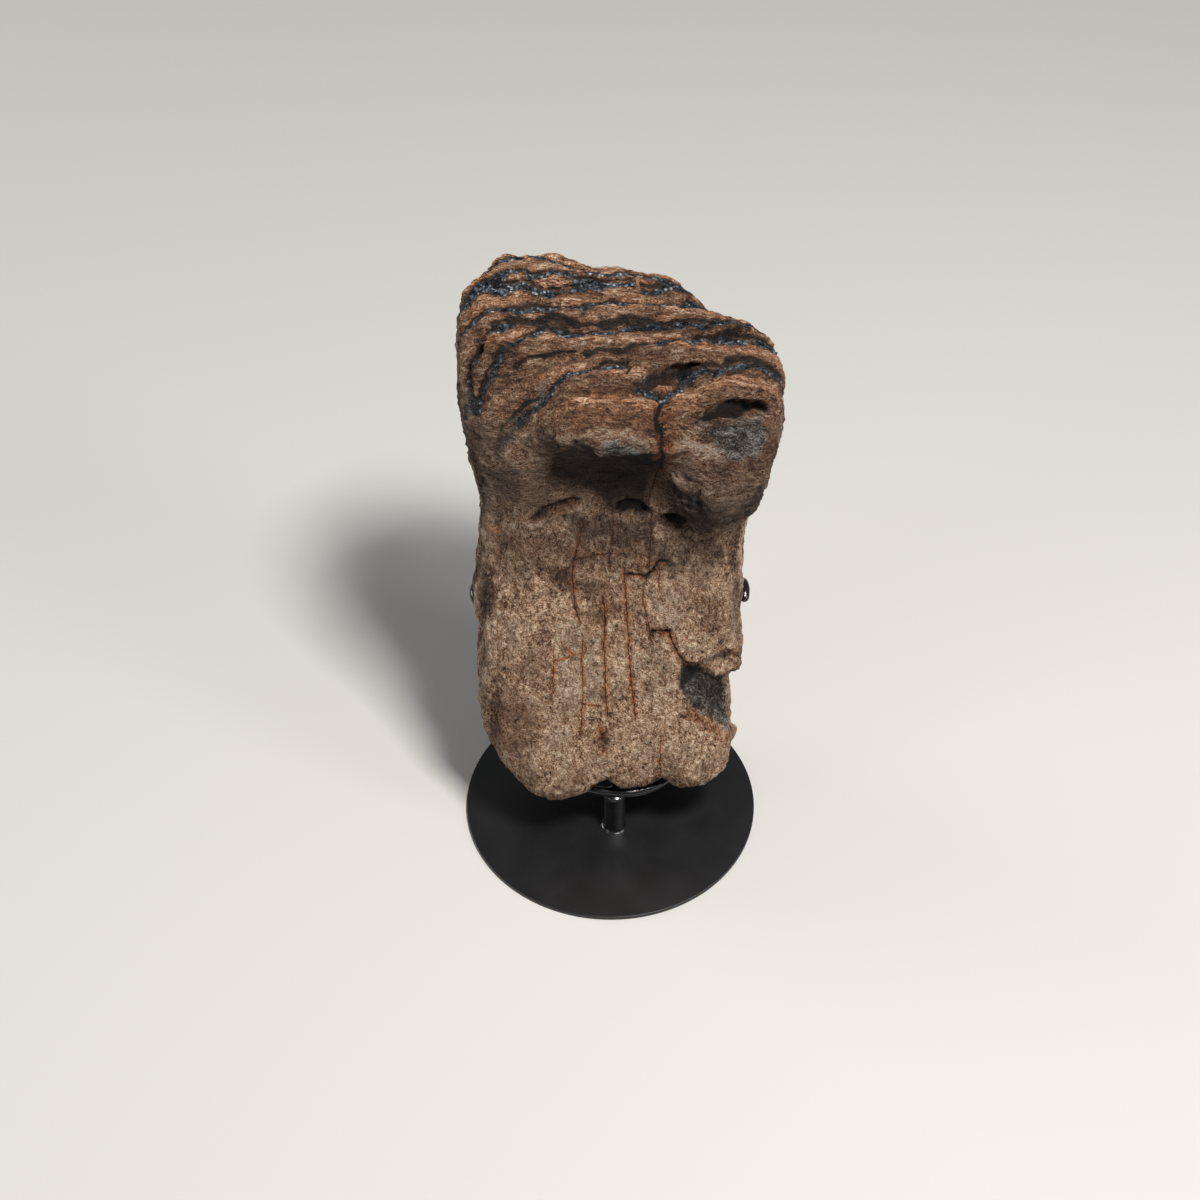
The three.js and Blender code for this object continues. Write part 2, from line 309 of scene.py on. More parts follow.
girth = add_node(rod_tree, "ShaderNodeMath", {"operation": "MAXIMUM"}, {0: girth, 1: given["Tip girth"]})
section = add_node(
    rod_tree,
    "GeometryNodeCurvePrimitiveCircle",
    links={"Resolution": given["Sides"], "Radius": given["Radius"]},
)
swept = add_node(
    rod_tree,
    "GeometryNodeCurveToMesh",
    links={"Curve": path, "Profile Curve": section.outputs["Curve"], "Scale": girth, "Fill Caps": True},
)
rod = add_node(rod_tree, "GeometryNodeSetShadeSmooth", links={"Geometry": swept})
rod = add_node(rod_tree, "GeometryNodeRealizeInstances", links={"Geometry": rod})
rod = add_node(rod_tree, "GeometryNodeSetMaterial", links={"Geometry": rod, "Material": given["Paint"]})
add_node(rod_tree, "NodeGroupOutput", links={"Geometry": rod})

rod_paths = []
for name, node, points in (
    ("side_prongs", "side_prong_rod", side_rod_points),
    ("back_prong", "back_prong_rod", back_rod_points),
):
    line = smooth_path(points)
    rod_paths.append(line)
    curve = bpy.data.curves.new(name + "_path", "CURVE")
    curve.dimensions = "3D"
    spline = curve.splines.new("POLY")
    spline.points.add(len(line) - 1)
    for point, at in zip(spline.points, line):
        point.co = (*(at / 1000), 1)
    source = bpy.data.objects.new(name + "_path", curve)
    bpy.context.scene.collection.objects.link(source)
    piece = baked(name, source, rod_tree, {"Paint": enamel_paint})
    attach(piece, "root")
    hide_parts(node)

# ---------------------------------------------------------------------------------------------
# The tooth: a mammoth's molar, fossilised. Upright plates of blue-grey enamel and brown dentine are
# bound by tan cementum, which wore away fastest on the chewing face and covers the rest in a rough
# skin, with the cracks, pits and broken places that it took in the ground. All sizes are in mm.

VOXEL = 0.88  # spacing of the finished mesh
EASING = (0.5, -0.51) * 26  # how far each pass moves a point to the mean of its neighbours
KEPT_EDGE = 0.25  # the share of that movement which a fresh break still gets
CROWN_RISE = (0, 1.2, 1.7)  # what the chewing face's back edge gains over the solid
ROD_CLEARANCE = 0.12  # between the rods and the tooth's surface
CUT_CRACK = 0.32  # half width above which a crack is cut into the mesh
FAR = 9.0  # a distance from any mark that is further than all of them reach
WANDER_SEED = 4  # fixes how the marks wander

# The enamel sheets, as they run across the chewing face in plan, each with half its thickness and
# (x, y) points. Two sheets close round the dentine of one plate; open ends leave by the sides.
enamel_sheets = [
    (0.9, [(-60, 59), (-44, 58), (-39.1, 57.5), (-37.7, 61.7), (-35.2, 62.8), (-32.4, 64.3),
        (-29, 64.9)]),
    (0.6, [(-25.8, 65.3), (-21.1, 64.8), (-15.7, 63.1), (-9.9, 59.4), (-3.6, 58.8), (0.1, 59)]),
    (1.0, [(0.1, 59), (5.8, 59.7), (10.6, 59.5), (14.4, 59.4), (30, 57), (60, 55)]),
    (1.2, [(-60, 50), (-46, 50.8), (-41.9, 51.7), (-40, 52.2), (-37.8, 53.3), (-34.7, 55.1),
        (-31.7, 56.8), (-27.9, 57.4), (-25.6, 55.3), (-22.5, 56.1)]),
    (0.9, [(-22.5, 56.1), (-18.4, 57.6), (-14.7, 57.6), (-11.5, 57.7)]),
    (0.7, [(-11.5, 55.5), (-6.8, 55.6), (-1.4, 55.4), (2, 55.9), (7.1, 56.5)]),
    (1.0, [(9.6, 55.7), (11.7, 55.3), (14.3, 55.8), (17, 56.4), (19.7, 57.4), (30, 58)]),
    (1.1, [(-60, 48), (-46, 49.8), (-43.1, 50.1), (-40, 50.8), (-37.1, 51), (-34, 51.4), (-31.6, 51.6),
        (-27.2, 52.6)]),
    (0.8, [(-27.2, 52.6), (-24, 52.2), (-20.3, 52.1), (-16.5, 52.1), (-11.9, 53.6), (-9, 53.8),
        (-3.6, 54.6), (2, 55.9)]),
    (0.9, [(-60, 36), (-46, 38.8), (-44.3, 39.2), (-41.6, 40.1), (-39.1, 41.5), (-36, 42.6),
        (-33.2, 42.3), (-30.1, 42), (-25.4, 42.7), (-20.8, 43.5), (-18, 44.1)]),
    (0.4, [(-18, 44.1), (-13, 44.7), (-9.6, 44.7)]),
    (1.2, [(-9.6, 44.7), (-6.1, 46.5), (-2.8, 48.3), (0.6, 50.4), (3.9, 49.5), (7.7, 49.9),
        (11.6, 50.1)]),
    (0.9, [(11.6, 50.1), (15.4, 49.2), (19.2, 50.8), (23.1, 51.6), (25.4, 53.5), (30, 53), (60, 50)]),
    (1.0, [(60, 46), (43, 46), (41, 45.2), (38.6, 46.3), (35.3, 46), (32.1, 45.3)]),
    (0.9, [(-30.1, 39), (-33.8, 37.8), (-37.8, 36), (-39.9, 33.1), (-41.7, 30.5), (-43, 28.2),
        (-44.3, 26.2), (-44.7, 24.6), (-44.5, 23), (-43.3, 21.6), (-42, 20.7), (-40.5, 22.9),
        (-39, 24.8), (-36.2, 26.1), (-35, 27.9), (-33.6, 29.8), (-29.8, 31.6), (-27.6, 33.6),
        (-23.8, 35.8)]),
    (1.1, [(-23.8, 35.8), (-21.7, 38), (-18.3, 38), (-14.5, 37.7), (-11.1, 37.1)]),
    (0.7, [(-11.1, 37.1), (-7.1, 37.3), (-3.2, 38.2), (-0.2, 39.2), (3.9, 40.5), (7.6, 41.9),
        (10.7, 41.9), (14.5, 42.4), (19.8, 42.8), (24.5, 43.8), (26.8, 43.5), (29.9, 43.8)]),
    (1.1, [(14.7, 34.8), (17.6, 37.1), (20.6, 38), (24.4, 38.2), (27.5, 39.8), (30.5, 39.6),
        (34.3, 40.6), (38.1, 40.7), (42, 41.2), (45.9, 41.5), (48.6, 41.6), (60, 42)]),
    (0.8, [(-36.5, 13), (-34.9, 14.6), (-32.3, 14.9), (-29.9, 15.5), (-27.6, 15.8), (-24.7, 15.8),
        (-22.1, 16.3), (-18.8, 17.6), (-17, 19.7), (-14.1, 21.5), (-10.7, 22.1), (-7.6, 23.2),
        (-3.2, 25.9), (0.6, 27.3), (4.4, 27.4)]),
    (0.9, [(6.8, 18.1), (10.2, 17.7), (13.3, 18.1), (17, 17.6), (19.6, 22.4), (22, 27.2), (23.9, 28),
        (26.6, 29.2), (29.6, 29.2), (34, 28.7), (37.1, 30.1), (40.9, 30.9), (44.3, 30.9), (47, 30.6),
        (50.7, 30.1), (60, 29)]),
]
# Seams on the chewing face where the cementum has fallen out from beside a sheet, in the same way.
dark_seams = [
    (1.3, [(-31.6, 39.6), (-25, 40.2), (-19, 41.1), (-14.6, 41.5), (-10.5, 41.1)]),
    (0.8, [(-10.5, 41.2), (-6.8, 41.3), (-3.6, 41.3)]),
    (1.2, [(-3.6, 41.3), (0.1, 42.4), (3.9, 43.6), (8.5, 43.9), (11.5, 43.6)]),
    (0.6, [(11.5, 43.5), (16.1, 43.5), (23, 44.6), (28.7, 45.6), (32.1, 46.2)]),
    (0.5, [(-30, 27), (-26.2, 28.2), (-23.7, 28), (-20.7, 28.4), (-18.2, 29.1), (-12.6, 30),
        (-8, 30.1)]),
    (0.8, [(-8, 30.1), (-3.2, 31.2), (0.1, 31.5), (3.8, 31.6), (7.2, 33.5)]),
    (0.4, [(7.2, 33.5), (10.6, 33.8), (14.7, 34.8)]),
    (0.9, [(36, 31.8), (40.9, 32.5), (43.9, 32.7), (47.8, 32.4), (50.9, 31.9), (60, 31)]),
    (0.4, [(-18, 44.8), (-13, 45.4), (-9.6, 45.6)]),
    (0.5, [(5, 31), (5.6, 27), (4.2, 23)]),
    (0.4, [(-42, 33), (-43.6, 29), (-45.4, 26)]),
]
# Rules for the plates lower down, where only the tooth's sides show them.
PLATE_SPACING = 12.2
FIRST_PLATE = 21.5  # where the first one crosses the middle
PLATE_BOW = 3.0  # how far its ends lie in front of its middle
PLATE_TURN = 0.06  # how far it lies askew, per mm to the right
PLATE_HALF = 2.6  # from its middle to either of its sheets

# Cracks and broken edges on the front, (x, z), each with half its width.
front_cracks = [
    (0.3, [(-9, 131), (-9.8, 127), (-11, 122), (-12.1, 117), (-12.6, 111), (-11.8, 103),
        (-10.8, 94.5)]),
    (0.21, [(0.5, 131.6), (0.2, 124.3), (-0.4, 117), (-0.4, 113.3)]),
    (0.27, [(12.6, 132.6), (12.7, 126.1), (12.4, 120.7), (12.2, 114.8)]),
    (0.27, [(4.1, 113.5), (4.5, 105.3), (5.2, 93.4), (5.9, 81.6), (7, 66.7), (8.1, 56.9)]),
    (0.21, [(10.3, 110.5), (10.4, 101.6), (11.4, 95.4), (13.2, 86.1)]),
    (0.27, [(-2.7, 103.2), (-2, 94.1), (-2.3, 82.4), (-2, 72.9), (-1.6, 63.5), (-1.3, 58)]),
    (0.18, [(-9.2, 87.2), (-9.6, 77.6), (-9.3, 68.1), (-9.7, 58.9), (-10, 51.8)]),
    (0.18, [(-19.1, 86), (-19.2, 77.5), (-18.9, 68.3)]),
    (0.24, [(16.9, 50.5), (16.7, 42.6), (16.8, 32.6)]),
    (0.18, [(15.7, 116.5), (15.5, 109.7), (15.9, 102.1)]),
    (0.18, [(-12.3, 118.3), (-6.9, 118.1), (-0.4, 119.2)]),
    (0.33, [(5.4, 111.3), (8.7, 111.2), (11.2, 110.2), (13.5, 113), (15, 116.4), (17.9, 116.6)]),
    (0.18, [(-19.1, 81.3), (-16.8, 81.3), (-13.5, 81.8)]),
    (0.18, [(-10, 63), (-7, 61.9), (-3.6, 61.5)]),
    (0.18, [(-15.8, 87.7), (-13.5, 84.1), (-11.9, 81.9)]),
    (0.36, [(13.4, 89.3), (16.1, 89.6), (19, 89.5), (20.7, 84.1), (22.8, 79.9), (24.5, 77.9),
        (27.4, 75.8)]),
    (0.75, [(15.6, 174), (15.6, 171.6), (15.3, 168.9), (15.5, 163.2), (14.5, 153.8)]),
    (0.27, [(14.5, 153.8), (13.4, 147.2), (12.5, 141.5), (11.9, 136.2)]),
]
# The long crack across the brow, in plan.
crown_cracks = [
    (0.85, [(15.8, 18.5), (14.6, 11.8), (13.7, 8.4), (14.1, 6.2), (15.5, 4.5), (15.8, 3), (15.7, -4)]),
]

# Cracks on the back, (x, z), and on the right and left flanks, (y, z).
back_cracks = [
    (0.3, [(-22, 172), (-20, 150), (-21, 132), (-18, 118), (-19, 100)]),
    (0.25, [(6, 182), (5, 160), (8, 146), (7, 128)]),
    (0.3, [(10, 112), (12, 95), (10, 78), (13, 60), (12, 46)]),
    (0.25, [(-30, 96), (-28, 80), (-31, 64), (-29, 50)]),
    (0.2, [(28, 150), (30, 132), (27, 116)]),
    (0.25, [(-19, 128), (-8, 124), (4, 127), (9, 122)]),
    (0.2, [(13, 84), (22, 80), (31, 83)]),
    (0.2, [(-12, 84), (-10, 70), (-13, 52), (-11, 34)]),
]
right_cracks = [
    (0.3, [(20, 156), (22, 130), (19, 112), (21, 98)]),
    (0.25, [(44, 128), (41, 108), (43, 88), (40, 66)]),
    (0.2, [(12, 92), (14, 74), (11, 58)]),
    (0.25, [(19, 112), (27, 109), (34, 112)]),
]
left_cracks = [
    (0.3, [(34, 150), (31, 132), (33, 112), (30, 92)]),
    (0.25, [(15, 108), (18, 90), (16, 70), (19, 52)]),
    (0.2, [(47, 120), (44, 100), (46, 78)]),
    (0.25, [(18, 90), (26, 87), (30, 92)]),
]

# Hollows: on the chewing face in plan, and on the front and back as (x, z), with depth, rim width
# and shade, which is painted shade in and around the hollow. Those of no depth only darken the surface:
# painted shade under the head's overhang, on the cheeks and towards the edges, and a darker head front.
crown_hollows = [
    (4.2, 0.5, 1.0, [(23.6, 12), (25.2, 15), (28.8, 17), (31.9, 17.3), (34.1, 18.6), (38.4, 19.6),
        (42.8, 19.4), (47.4, 19.7), (49.8, 18.6), (49.3, 17), (45.9, 17.2), (42.1, 16.2), (38.4, 14.4),
        (33.4, 13.9), (28.7, 11.8)]),
    (6.5, 0.6, 1.0, [(39, 18.6), (42.8, 19), (47.2, 18.9), (48.4, 18), (45.9, 17.2), (41, 16.6)]),
    (3.6, 0.6, 0.95, [(7.1, 19.6), (8.7, 21.6), (11.9, 27), (13.4, 28.4), (15, 27.9), (18.7, 29.9),
        (24.4, 31.4), (28.1, 31.2), (26.9, 30.1), (23.8, 28.8), (20.6, 27.5), (18.7, 24.8),
        (14.9, 22.1), (11.8, 19.4)]),
    (1.8, 0.8, 0.9, [(-33.8, 43.3), (-31.7, 45.7), (-28, 47.9), (-23.1, 50.4), (-18.7, 48.3),
        (-17.4, 45.4), (-20.8, 44.9), (-27, 43.9)]),
    (1.6, 0.7, 0.9, [(-41.9, 51.4), (-39.6, 52.6), (-37.5, 53.8), (-35.3, 53.2), (-35.9, 51.8),
        (-38.7, 51.4)]),
    (3.0, 0.8, 1.0, [(-43.3, 30.5), (-42.4, 32.9), (-40.8, 33.7), (-39.5, 31.3), (-39.8, 29.3),
        (-41.4, 28.6), (-42.7, 28.5)]),
    (1.0, 0.5, 0.8, [(-42.3, 27.4), (-40.2, 27.6), (-39.6, 26.6), (-41.1, 26.4)]),
    (1.0, 0.7, 0.6, [(-23.7, 28.2), (-22.2, 28.6), (-17.9, 28.9), (-17.3, 28.1), (-19.7, 26.9),
        (-23.1, 27.1)]),
    (3.4, 0.8, 1.0, [(34.4, 42.2), (35.3, 43.6), (37.2, 44.6), (39.7, 44.6), (41.3, 43.3),
        (40.3, 42.2), (36.5, 42)]),
    (1.5, 0.6, 1.0, [(24.5, 40.5), (26.8, 41.9), (29, 42.4), (30.4, 41.6), (27.7, 40.6)]),
    (1.2, 0.5, 0.9, [(29.7, 44.3), (31.2, 45.2), (33, 45.3), (32.6, 43.9), (30.5, 43.6)]),
]
front_hollows = [
    (1.3, 4.0, 0.92, [(-21, 158), (-16, 169), (-9.6, 173), (-5, 171), (-3.4, 167.6), (3, 166.4),
        (8, 167), (12.5, 170), (15.2, 152), (12.8, 139.2), (9.7, 132), (3.6, 130.6), (-3.3, 134),
        (-8, 139), (-14.4, 143), (-20, 148)]),
    (1.4, 2.5, 1.0, [(-11, 172), (-5, 171), (-3.4, 166.6), (3, 165.4), (8, 166), (13, 169), (14, 154),
        (7, 147), (-1.5, 152), (-10, 162)]),
    (3.4, 1.2, 1.0, [(0.5, 133.4), (2.1, 136.7), (5.9, 138.2), (9.4, 137), (12.3, 134), (9.1, 131.9),
        (3.4, 131.9)]),
    (2.4, 1.4, 1.0, [(16.1, 131.9), (19.2, 134.5), (23, 136), (25.5, 134.4), (25, 130.2), (21.2, 130),
        (18.1, 130.5)]),
    (0.0, 10.0, 0.62, [(-40, 140), (-15, 136), (0, 136), (20, 133), (40, 138), (44, 112), (20, 110),
        (0, 108), (-15, 110), (-40, 116)]),
    (0.0, 7.0, 0.72, [(-42, 166), (-31, 164), (-21, 158), (-16, 142), (-17, 134), (-26, 130),
        (-38, 130), (-44, 140)]),
    (0.0, 6.0, 0.82, [(15, 140), (23, 151), (34, 156), (43, 156), (40, 144), (34, 129), (24, 125),
        (16, 127)]),
    (0.0, 5.0, 0.84, [(-17, 140), (-8, 137), (-0.5, 133), (9, 132), (14.5, 131), (14.5, 123),
        (1.4, 120), (-12, 124), (-21, 130)]),
    (0.0, 6.0, 0.55, [(-56, 190), (0, 190), (56, 190), (56, 150), (46, 130), (20, 128), (-20, 128),
        (-56, 132)]),
    (0.0, 5.0, 0.72, [(19, 170), (30, 166), (48, 163), (52, 156), (46, 136), (27, 134), (18, 150)]),
    (0.0, 5.0, 0.6, [(-56, 180), (-40, 178), (-32, 168), (-24, 150), (-26, 128), (-56, 126)]),
    (0.0, 6.0, 0.6, [(-56, 128), (-40, 126), (-37, 96), (-56, 84)]),
    (0.0, 6.0, 0.35, [(-56, 88), (-38, 86), (-37, 40), (-30, 26), (-56, 26)]),
    (0.0, 5.0, 0.3, [(36, 130), (56, 130), (56, 84), (40, 84)]),
    (2.6, 1.2, 1.0, [(22.6, 78.6), (24.4, 76.8), (28.4, 74), (33, 70.8), (38.4, 65), (42, 60),
        (38, 62), (33, 67), (28, 71), (24.4, 74)]),
    (1.1, 1.2, 0.6, [(-4.7, 53.5), (-2.3, 53.3), (-1.3, 48.8), (-2.3, 44.9), (-4.3, 46)]),
    (1.2, 0.9, 0.9, [(-1.3, 58.1), (0.6, 58), (0.5, 56.2), (-1.2, 56.3)]),
    (0.9, 0.8, 0.8, [(-2.7, 78.3), (-1.4, 78.2), (-1.5, 77), (-2.6, 77.1)]),
    (0.9, 0.8, 0.8, [(-3.8, 85), (-2.2, 85), (-2.4, 83.8), (-3.6, 83.8)]),
    (1.4, 2.2, 0.75, [(17.4, 166.4), (21, 166.2), (24.5, 165.6), (28, 164.4), (31, 163.4), (34, 160),
        (32, 155), (26, 153), (19, 154)]),
    (0.6, 1.4, 0.45, [(24.5, 75.2), (30, 72.8), (35.5, 67), (38.4, 60.4), (41, 52), (37, 51),
        (31, 57.4), (27.6, 60.7), (24.9, 64.6), (22.6, 69.5), (22.9, 73)]),
    (0.7, 1.0, 0.95, [(24, 76), (30, 73.5), (37, 67), (35, 64), (32, 68), (28, 70.5), (25.4, 69.4),
        (26.4, 64.5), (30.4, 59.1), (27.6, 60.2), (24.7, 64.6), (22.3, 69.5), (22.5, 73)]),
]
back_hollows = [
    (2.2, 3.0, 0.5, [(-6, 150), (4, 153), (10, 146), (6, 138), (-4, 140)]),
    (1.6, 2.0, 0.6, [(20, 70), (26, 73), (29, 64), (23, 59)]),
    (1.4, 1.2, 0.8, [(-12, 108), (-8, 110), (-7, 106), (-11, 104)]),
    (1.2, 1.0, 0.9, [(17, 132), (20, 133), (20, 129), (17, 129)]),
    (1.8, 4.0, 0.35, [(-36, 150), (-25, 155), (-20, 140), (-26, 127), (-36, 134)]),
]
# Low ridges and, below 0, furrows on the front, (x, z), with height and half width.
front_folds = [
    (1.7, 1.2, [(-15.3, 169.8), (-12.2, 172.6), (-8.2, 174.4), (-3.6, 174.9), (0.9, 174.7),
        (4.9, 173.6), (8, 172.3), (10.1, 170.8)]),
    (1.7, 1.2, [(17.2, 168.8), (20.9, 168.6), (24, 168), (27.1, 166.7), (29.6, 166.7), (32.1, 165),
        (34.6, 162.9)]),
    (-1.6, 1.8, [(17.4, 132.2), (21.9, 130.6), (28.2, 130), (33, 132), (37.5, 138)]),
    (-2.1, 1.3, [(-24.3, 134.1), (-22.4, 135.6), (-20.1, 137), (-16.3, 137.6), (-11.9, 138.1)]),
    (1.5, 1.4, [(-25.5, 131.6), (-22, 133.2), (-19, 134.8), (-15.3, 135.4), (-10, 135.8)]),
]
# Rust blooms on the front and back, (x, z), and on the chewing face, (x, y), with strength and reach.
front_blooms = [
    (0.75, 5.5, [(16.6, 176), (16.8, 168), (16.4, 160)]),
    (0.5, 4.0, [(13, 176), (6, 177), (-2, 178), (-12, 177)]),
    (0.35, 5.0, [(-40, 128), (-24, 124), (-8, 120), (6, 122)]),
    (1.0, 2.6, [(-3.4, 53), (-2.8, 48), (-3.4, 44)]),
    (1.0, 2.8, [(27, 58.5), (30.5, 55), (35.5, 49.5), (39.5, 43.5)]),
    (0.5, 3.0, [(4, 121), (8, 119), (10, 114)]),
    (0.5, 2.5, [(-24, 134.5), (-12, 137.5)]),
]
back_blooms = [
    (0.8, 4.0, [(-22, 165), (-20, 140), (-18, 118)]),
    (0.7, 4.0, [(11, 100), (11, 76), (13, 58)]),
    (0.5, 6.0, [(25, 152), (29, 134)]),
    (0.5, 5.0, [(-30, 90), (-30, 62)]),
]
crown_blooms = [
    (0.9, 1.6, [(5.1, 41.2), (6.2, 40.6)]),
    (0.9, 1.5, [(30, 49.6), (31.6, 49.8)]),
    (0.8, 1.8, [(-36.8, 33), (-38.6, 30)]),
    (0.7, 1.6, [(9.4, 58), (9.8, 56.4)]),
    (0.8, 2.6, [(-44, 45), (-41.6, 43)]),
    (0.7, 1.6, [(12.5, 16.8), (16.5, 15.8), (19, 16.4)]),
    (0.8, 2.4, [(15.2, 16), (14.6, 9), (15.6, 4)]),
    (0.6, 2.4, [(-12, 17), (-2, 15), (8, 13)]),
    (0.5, 2.5, [(20, 35.5), (30, 36.5), (42, 37)]),
    (0.5, 2.2, [(-28, 21), (-22, 23.5)]),
]
# Where the cementum has flaked off and bare dentine shows: on the front, back and chewing face.
front_bare = [
    [(24.5, 76), (30.1, 73.5), (36.5, 67.5), (42, 61), (45, 52), (43.5, 41.4), (41, 42.6), (37.2, 50),
        (30.9, 57), (27, 60.2), (24.2, 64.6), (22, 69.5), (22.3, 73.1)],
    [(26, 172.4), (33.4, 172), (38, 172), (42.1, 171.6), (46.5, 171), (49, 168.9), (48, 165),
        (44, 161.5), (38, 160.5), (33.3, 163), (29.6, 168)],
    [(-3.6, 172.6), (0, 173), (4, 172.4), (7, 170.8), (9.5, 168.7), (8, 165), (4, 164), (-0.6, 164),
        (-3.4, 168)],
]
back_bare = [
    [(-35, 150), (-25, 154), (-21, 141), (-26, 129), (-35, 135)],
    [(18, 104), (27, 108), (31, 95), (23, 87)],
]
crown_bare = [
    [(8.7, 19.5), (9.6, 24), (11.2, 27), (14.1, 29.1), (15.6, 28.2), (13.4, 24.7), (10.6, 20)],
    [(-24, 16.4), (-23.4, 18.3), (-21.6, 20), (-19.5, 18.7), (-19.9, 16), (-22.1, 15.6)],
]
# Where the cementum is rubbed pale, above 0, or stays darker, below 0, with rim width, as (x, z).
front_tints = [
    (1.0, 2.0, [(-18, 96.8), (-12.4, 95.8), (-10.4, 87), (-3.2, 87), (-2.7, 77.4), (-3.2, 64.6),
        (-7.4, 61.6), (-10.5, 67.9), (-11.6, 56.5), (-16.8, 59.7), (-18.8, 71.7), (-19.5, 85)]),
    (0.9, 2.5, [(14, 107.7), (22.1, 108.8), (25.2, 102.1), (23.8, 91.8), (17.3, 87.3), (13.6, 96.7)]),
    (0.8, 3.0, [(6.3, 81.4), (14.3, 82.7), (20.6, 76.6), (22.3, 64.7), (16.7, 58.8), (9.8, 61.3),
        (5.9, 70.8)]),
    (0.8, 2.5, [(-22.1, 55.9), (-12.7, 54.5), (-11.7, 43.1), (-17, 38.5), (-22.1, 46.9)]),
    (0.8, 2.0, [(-8.3, 46.9), (-0.1, 45.8), (0.5, 30.7), (-6.9, 31.1)]),
    (0.6, 4.0, [(-38.6, 91.7), (-32.8, 96.9), (-26.7, 95.3), (-25.8, 87), (-32, 82.9), (-37.7, 84.4)]),
    (0.5, 4.0, [(11.5, 50.4), (26.3, 50), (30.1, 42.3), (24.4, 33.8), (13.8, 33.1)]),
    (-0.45, 4.0, [(-41.7, 55), (-35.5, 64.7), (-26.1, 63.1), (-24.7, 53.7), (-27.4, 45), (-36, 42.9),
        (-40.3, 46.1)]),
    (-0.5, 3.0, [(-32.9, 92.8), (-20.6, 92.4), (-14.5, 85.3), (-21.8, 80.6), (-31, 81.9)]),
    (-0.5, 3.5, [(25.1, 106.9), (41.9, 99.1), (44, 86.2), (31.7, 88), (24.3, 98.5)]),
    (-0.8, 2.0, [(-22.3, 117), (-14.3, 114.8), (-14.4, 109.6), (-21.4, 111.2)]),
    (-0.6, 2.0, [(-9, 110), (3, 109), (4, 98), (-3, 92), (-9, 97)]),
]
# Fresh breaks that keep their edges, as (x, y, z) and reach.
sharp_places = [
    ((17, 0, 89), 7), ((22, -3, 80), 7), ((29, -1, 74), 8), ((37, 2, 67), 8), ((42, 6, 58), 9),
    ((22, -4, 70), 6), ((30, -7, 60), 8), ((27, 56, 184), 9), ((39, 49, 183), 8), ((49, 44, 179), 7),
    ((53, 36, 174), 7), ((-35, 62, 192), 8), ((-20, 65, 191), 8), ((-5, 60, 190), 9),
    ((28, 13, 173), 6), ((36, 16, 173), 6), ((45, 18, 172), 6),
]


def ramp(low, high, value):
    """0 below low, 1 above high, smooth between them; low may be the larger."""
    t = np.clip((value - low) / (high - low), 0, 1)
    return t * t * (3 - 2 * t)


def path_distance(points, path):
    """How far each 2-D point lies from a line through the path, and on which side of it."""
    best = np.full(len(points), 1e9)
    side = np.ones(len(points))
    for a, b in zip(np.array(path[:-1], float), np.array(path[1:], float)):
        step = b - a
        away = points - a
        t = np.clip(away @ step / (step @ step), 0, 1)
        square = ((away - t[:, None] * step) ** 2).sum(1)
        nearer = square < best
        best[nearer] = square[nearer]
        side[nearer] = np.sign(step[0] * away[nearer, 1] - step[1] * away[nearer, 0])
    return np.sqrt(best), side


def outline_distance(points, outline):
    """How far each 2-D point lies from a closed outline, negative inside it."""
    ring = [*outline, outline[0]]
    inside = np.zeros(len(points), bool)
    for (ax, ay), (bx, by) in zip(ring, ring[1:]):
        crosses = (ay > points[:, 1]) != (by > points[:, 1])
        across = (bx - ax) * (points[:, 1] - ay) / (by - ay + 1e-12) + ax
        inside ^= crosses & (points[:, 0] < across)
    distance = path_distance(points, ring)[0]
    return np.where(inside, -distance, distance)


def sheet_distance(points, sheets):
    """How far each 2-D point lies from the nearest of these sheets, in halves of its thickness."""
    return np.min([path_distance(points, path)[0] / width for width, path in sheets], axis=0)


# The blank: the solid's outline, closed and resampled evenly. It is eased so that no flat facet is
# left, in steps that shrink and swell by turns, and less where a fresh break keeps its edge.
blank_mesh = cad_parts["mammoth_molar"].data.copy()
bm = bmesh.new()
bm.from_mesh(blank_mesh)
bmesh.ops.remove_doubles(bm, verts=bm.verts, dist=1e-6)
bm.to_mesh(blank_mesh)
bm.free()
blank = bpy.data.objects.new("tooth_blank", blank_mesh)
bpy.context.scene.collection.objects.link(blank)
remesh = blank.modifiers.new("even", "REMESH")
remesh.mode = "VOXEL"
remesh.voxel_size = VOXEL / 1000
bpy.context.view_layer.update()
even_mesh = bpy.data.meshes.new_from_object(blank.evaluated_get(bpy.context.evaluated_depsgraph_get()))
bpy.data.objects.remove(blank)

count = len(even_mesh.vertices)
at = np.zeros(count * 3, np.float32)
even_mesh.vertices.foreach_get("co", at)
at = at.reshape(-1, 3).astype(float) * 1000
edges = np.zeros(len(even_mesh.edges) * 2, np.int32)
even_mesh.edges.foreach_get("vertices", edges)
here, there = np.vstack([edges.reshape(-1, 2), edges.reshape(-1, 2)[:, ::-1]]).T
neighbours = np.bincount(here, minlength=count)
freedom = np.ones(count)
for centre, reach in sharp_places:
    distance = np.sqrt(((at - centre) ** 2).sum(1))
    freedom = np.minimum(freedom, KEPT_EDGE + (1 - KEPT_EDGE) * ramp(0.5 * reach, reach, distance))
for step in EASING:
    for axis in range(3):
        mean = np.bincount(here, at[there, axis], count) / neighbours
        at[:, axis] += step * freedom * (mean - at[:, axis])
x, y, z = at.T
# The chewing face rises a little more to its back edge than the solid does.
lift = ramp(30, 60, y) * ramp(160, 178, z) * ramp(34, 14, x)
at += lift[:, None] * CROWN_RISE
even_mesh.vertices.foreach_set("co", (at / 1000).astype(np.float32).ravel())
even_mesh.update()
facing = np.zeros(count * 3, np.float32)
even_mesh.vertex_normals.foreach_get("vector", facing)
facing = facing.reshape(-1, 3).astype(float)
x, y, z = at.T

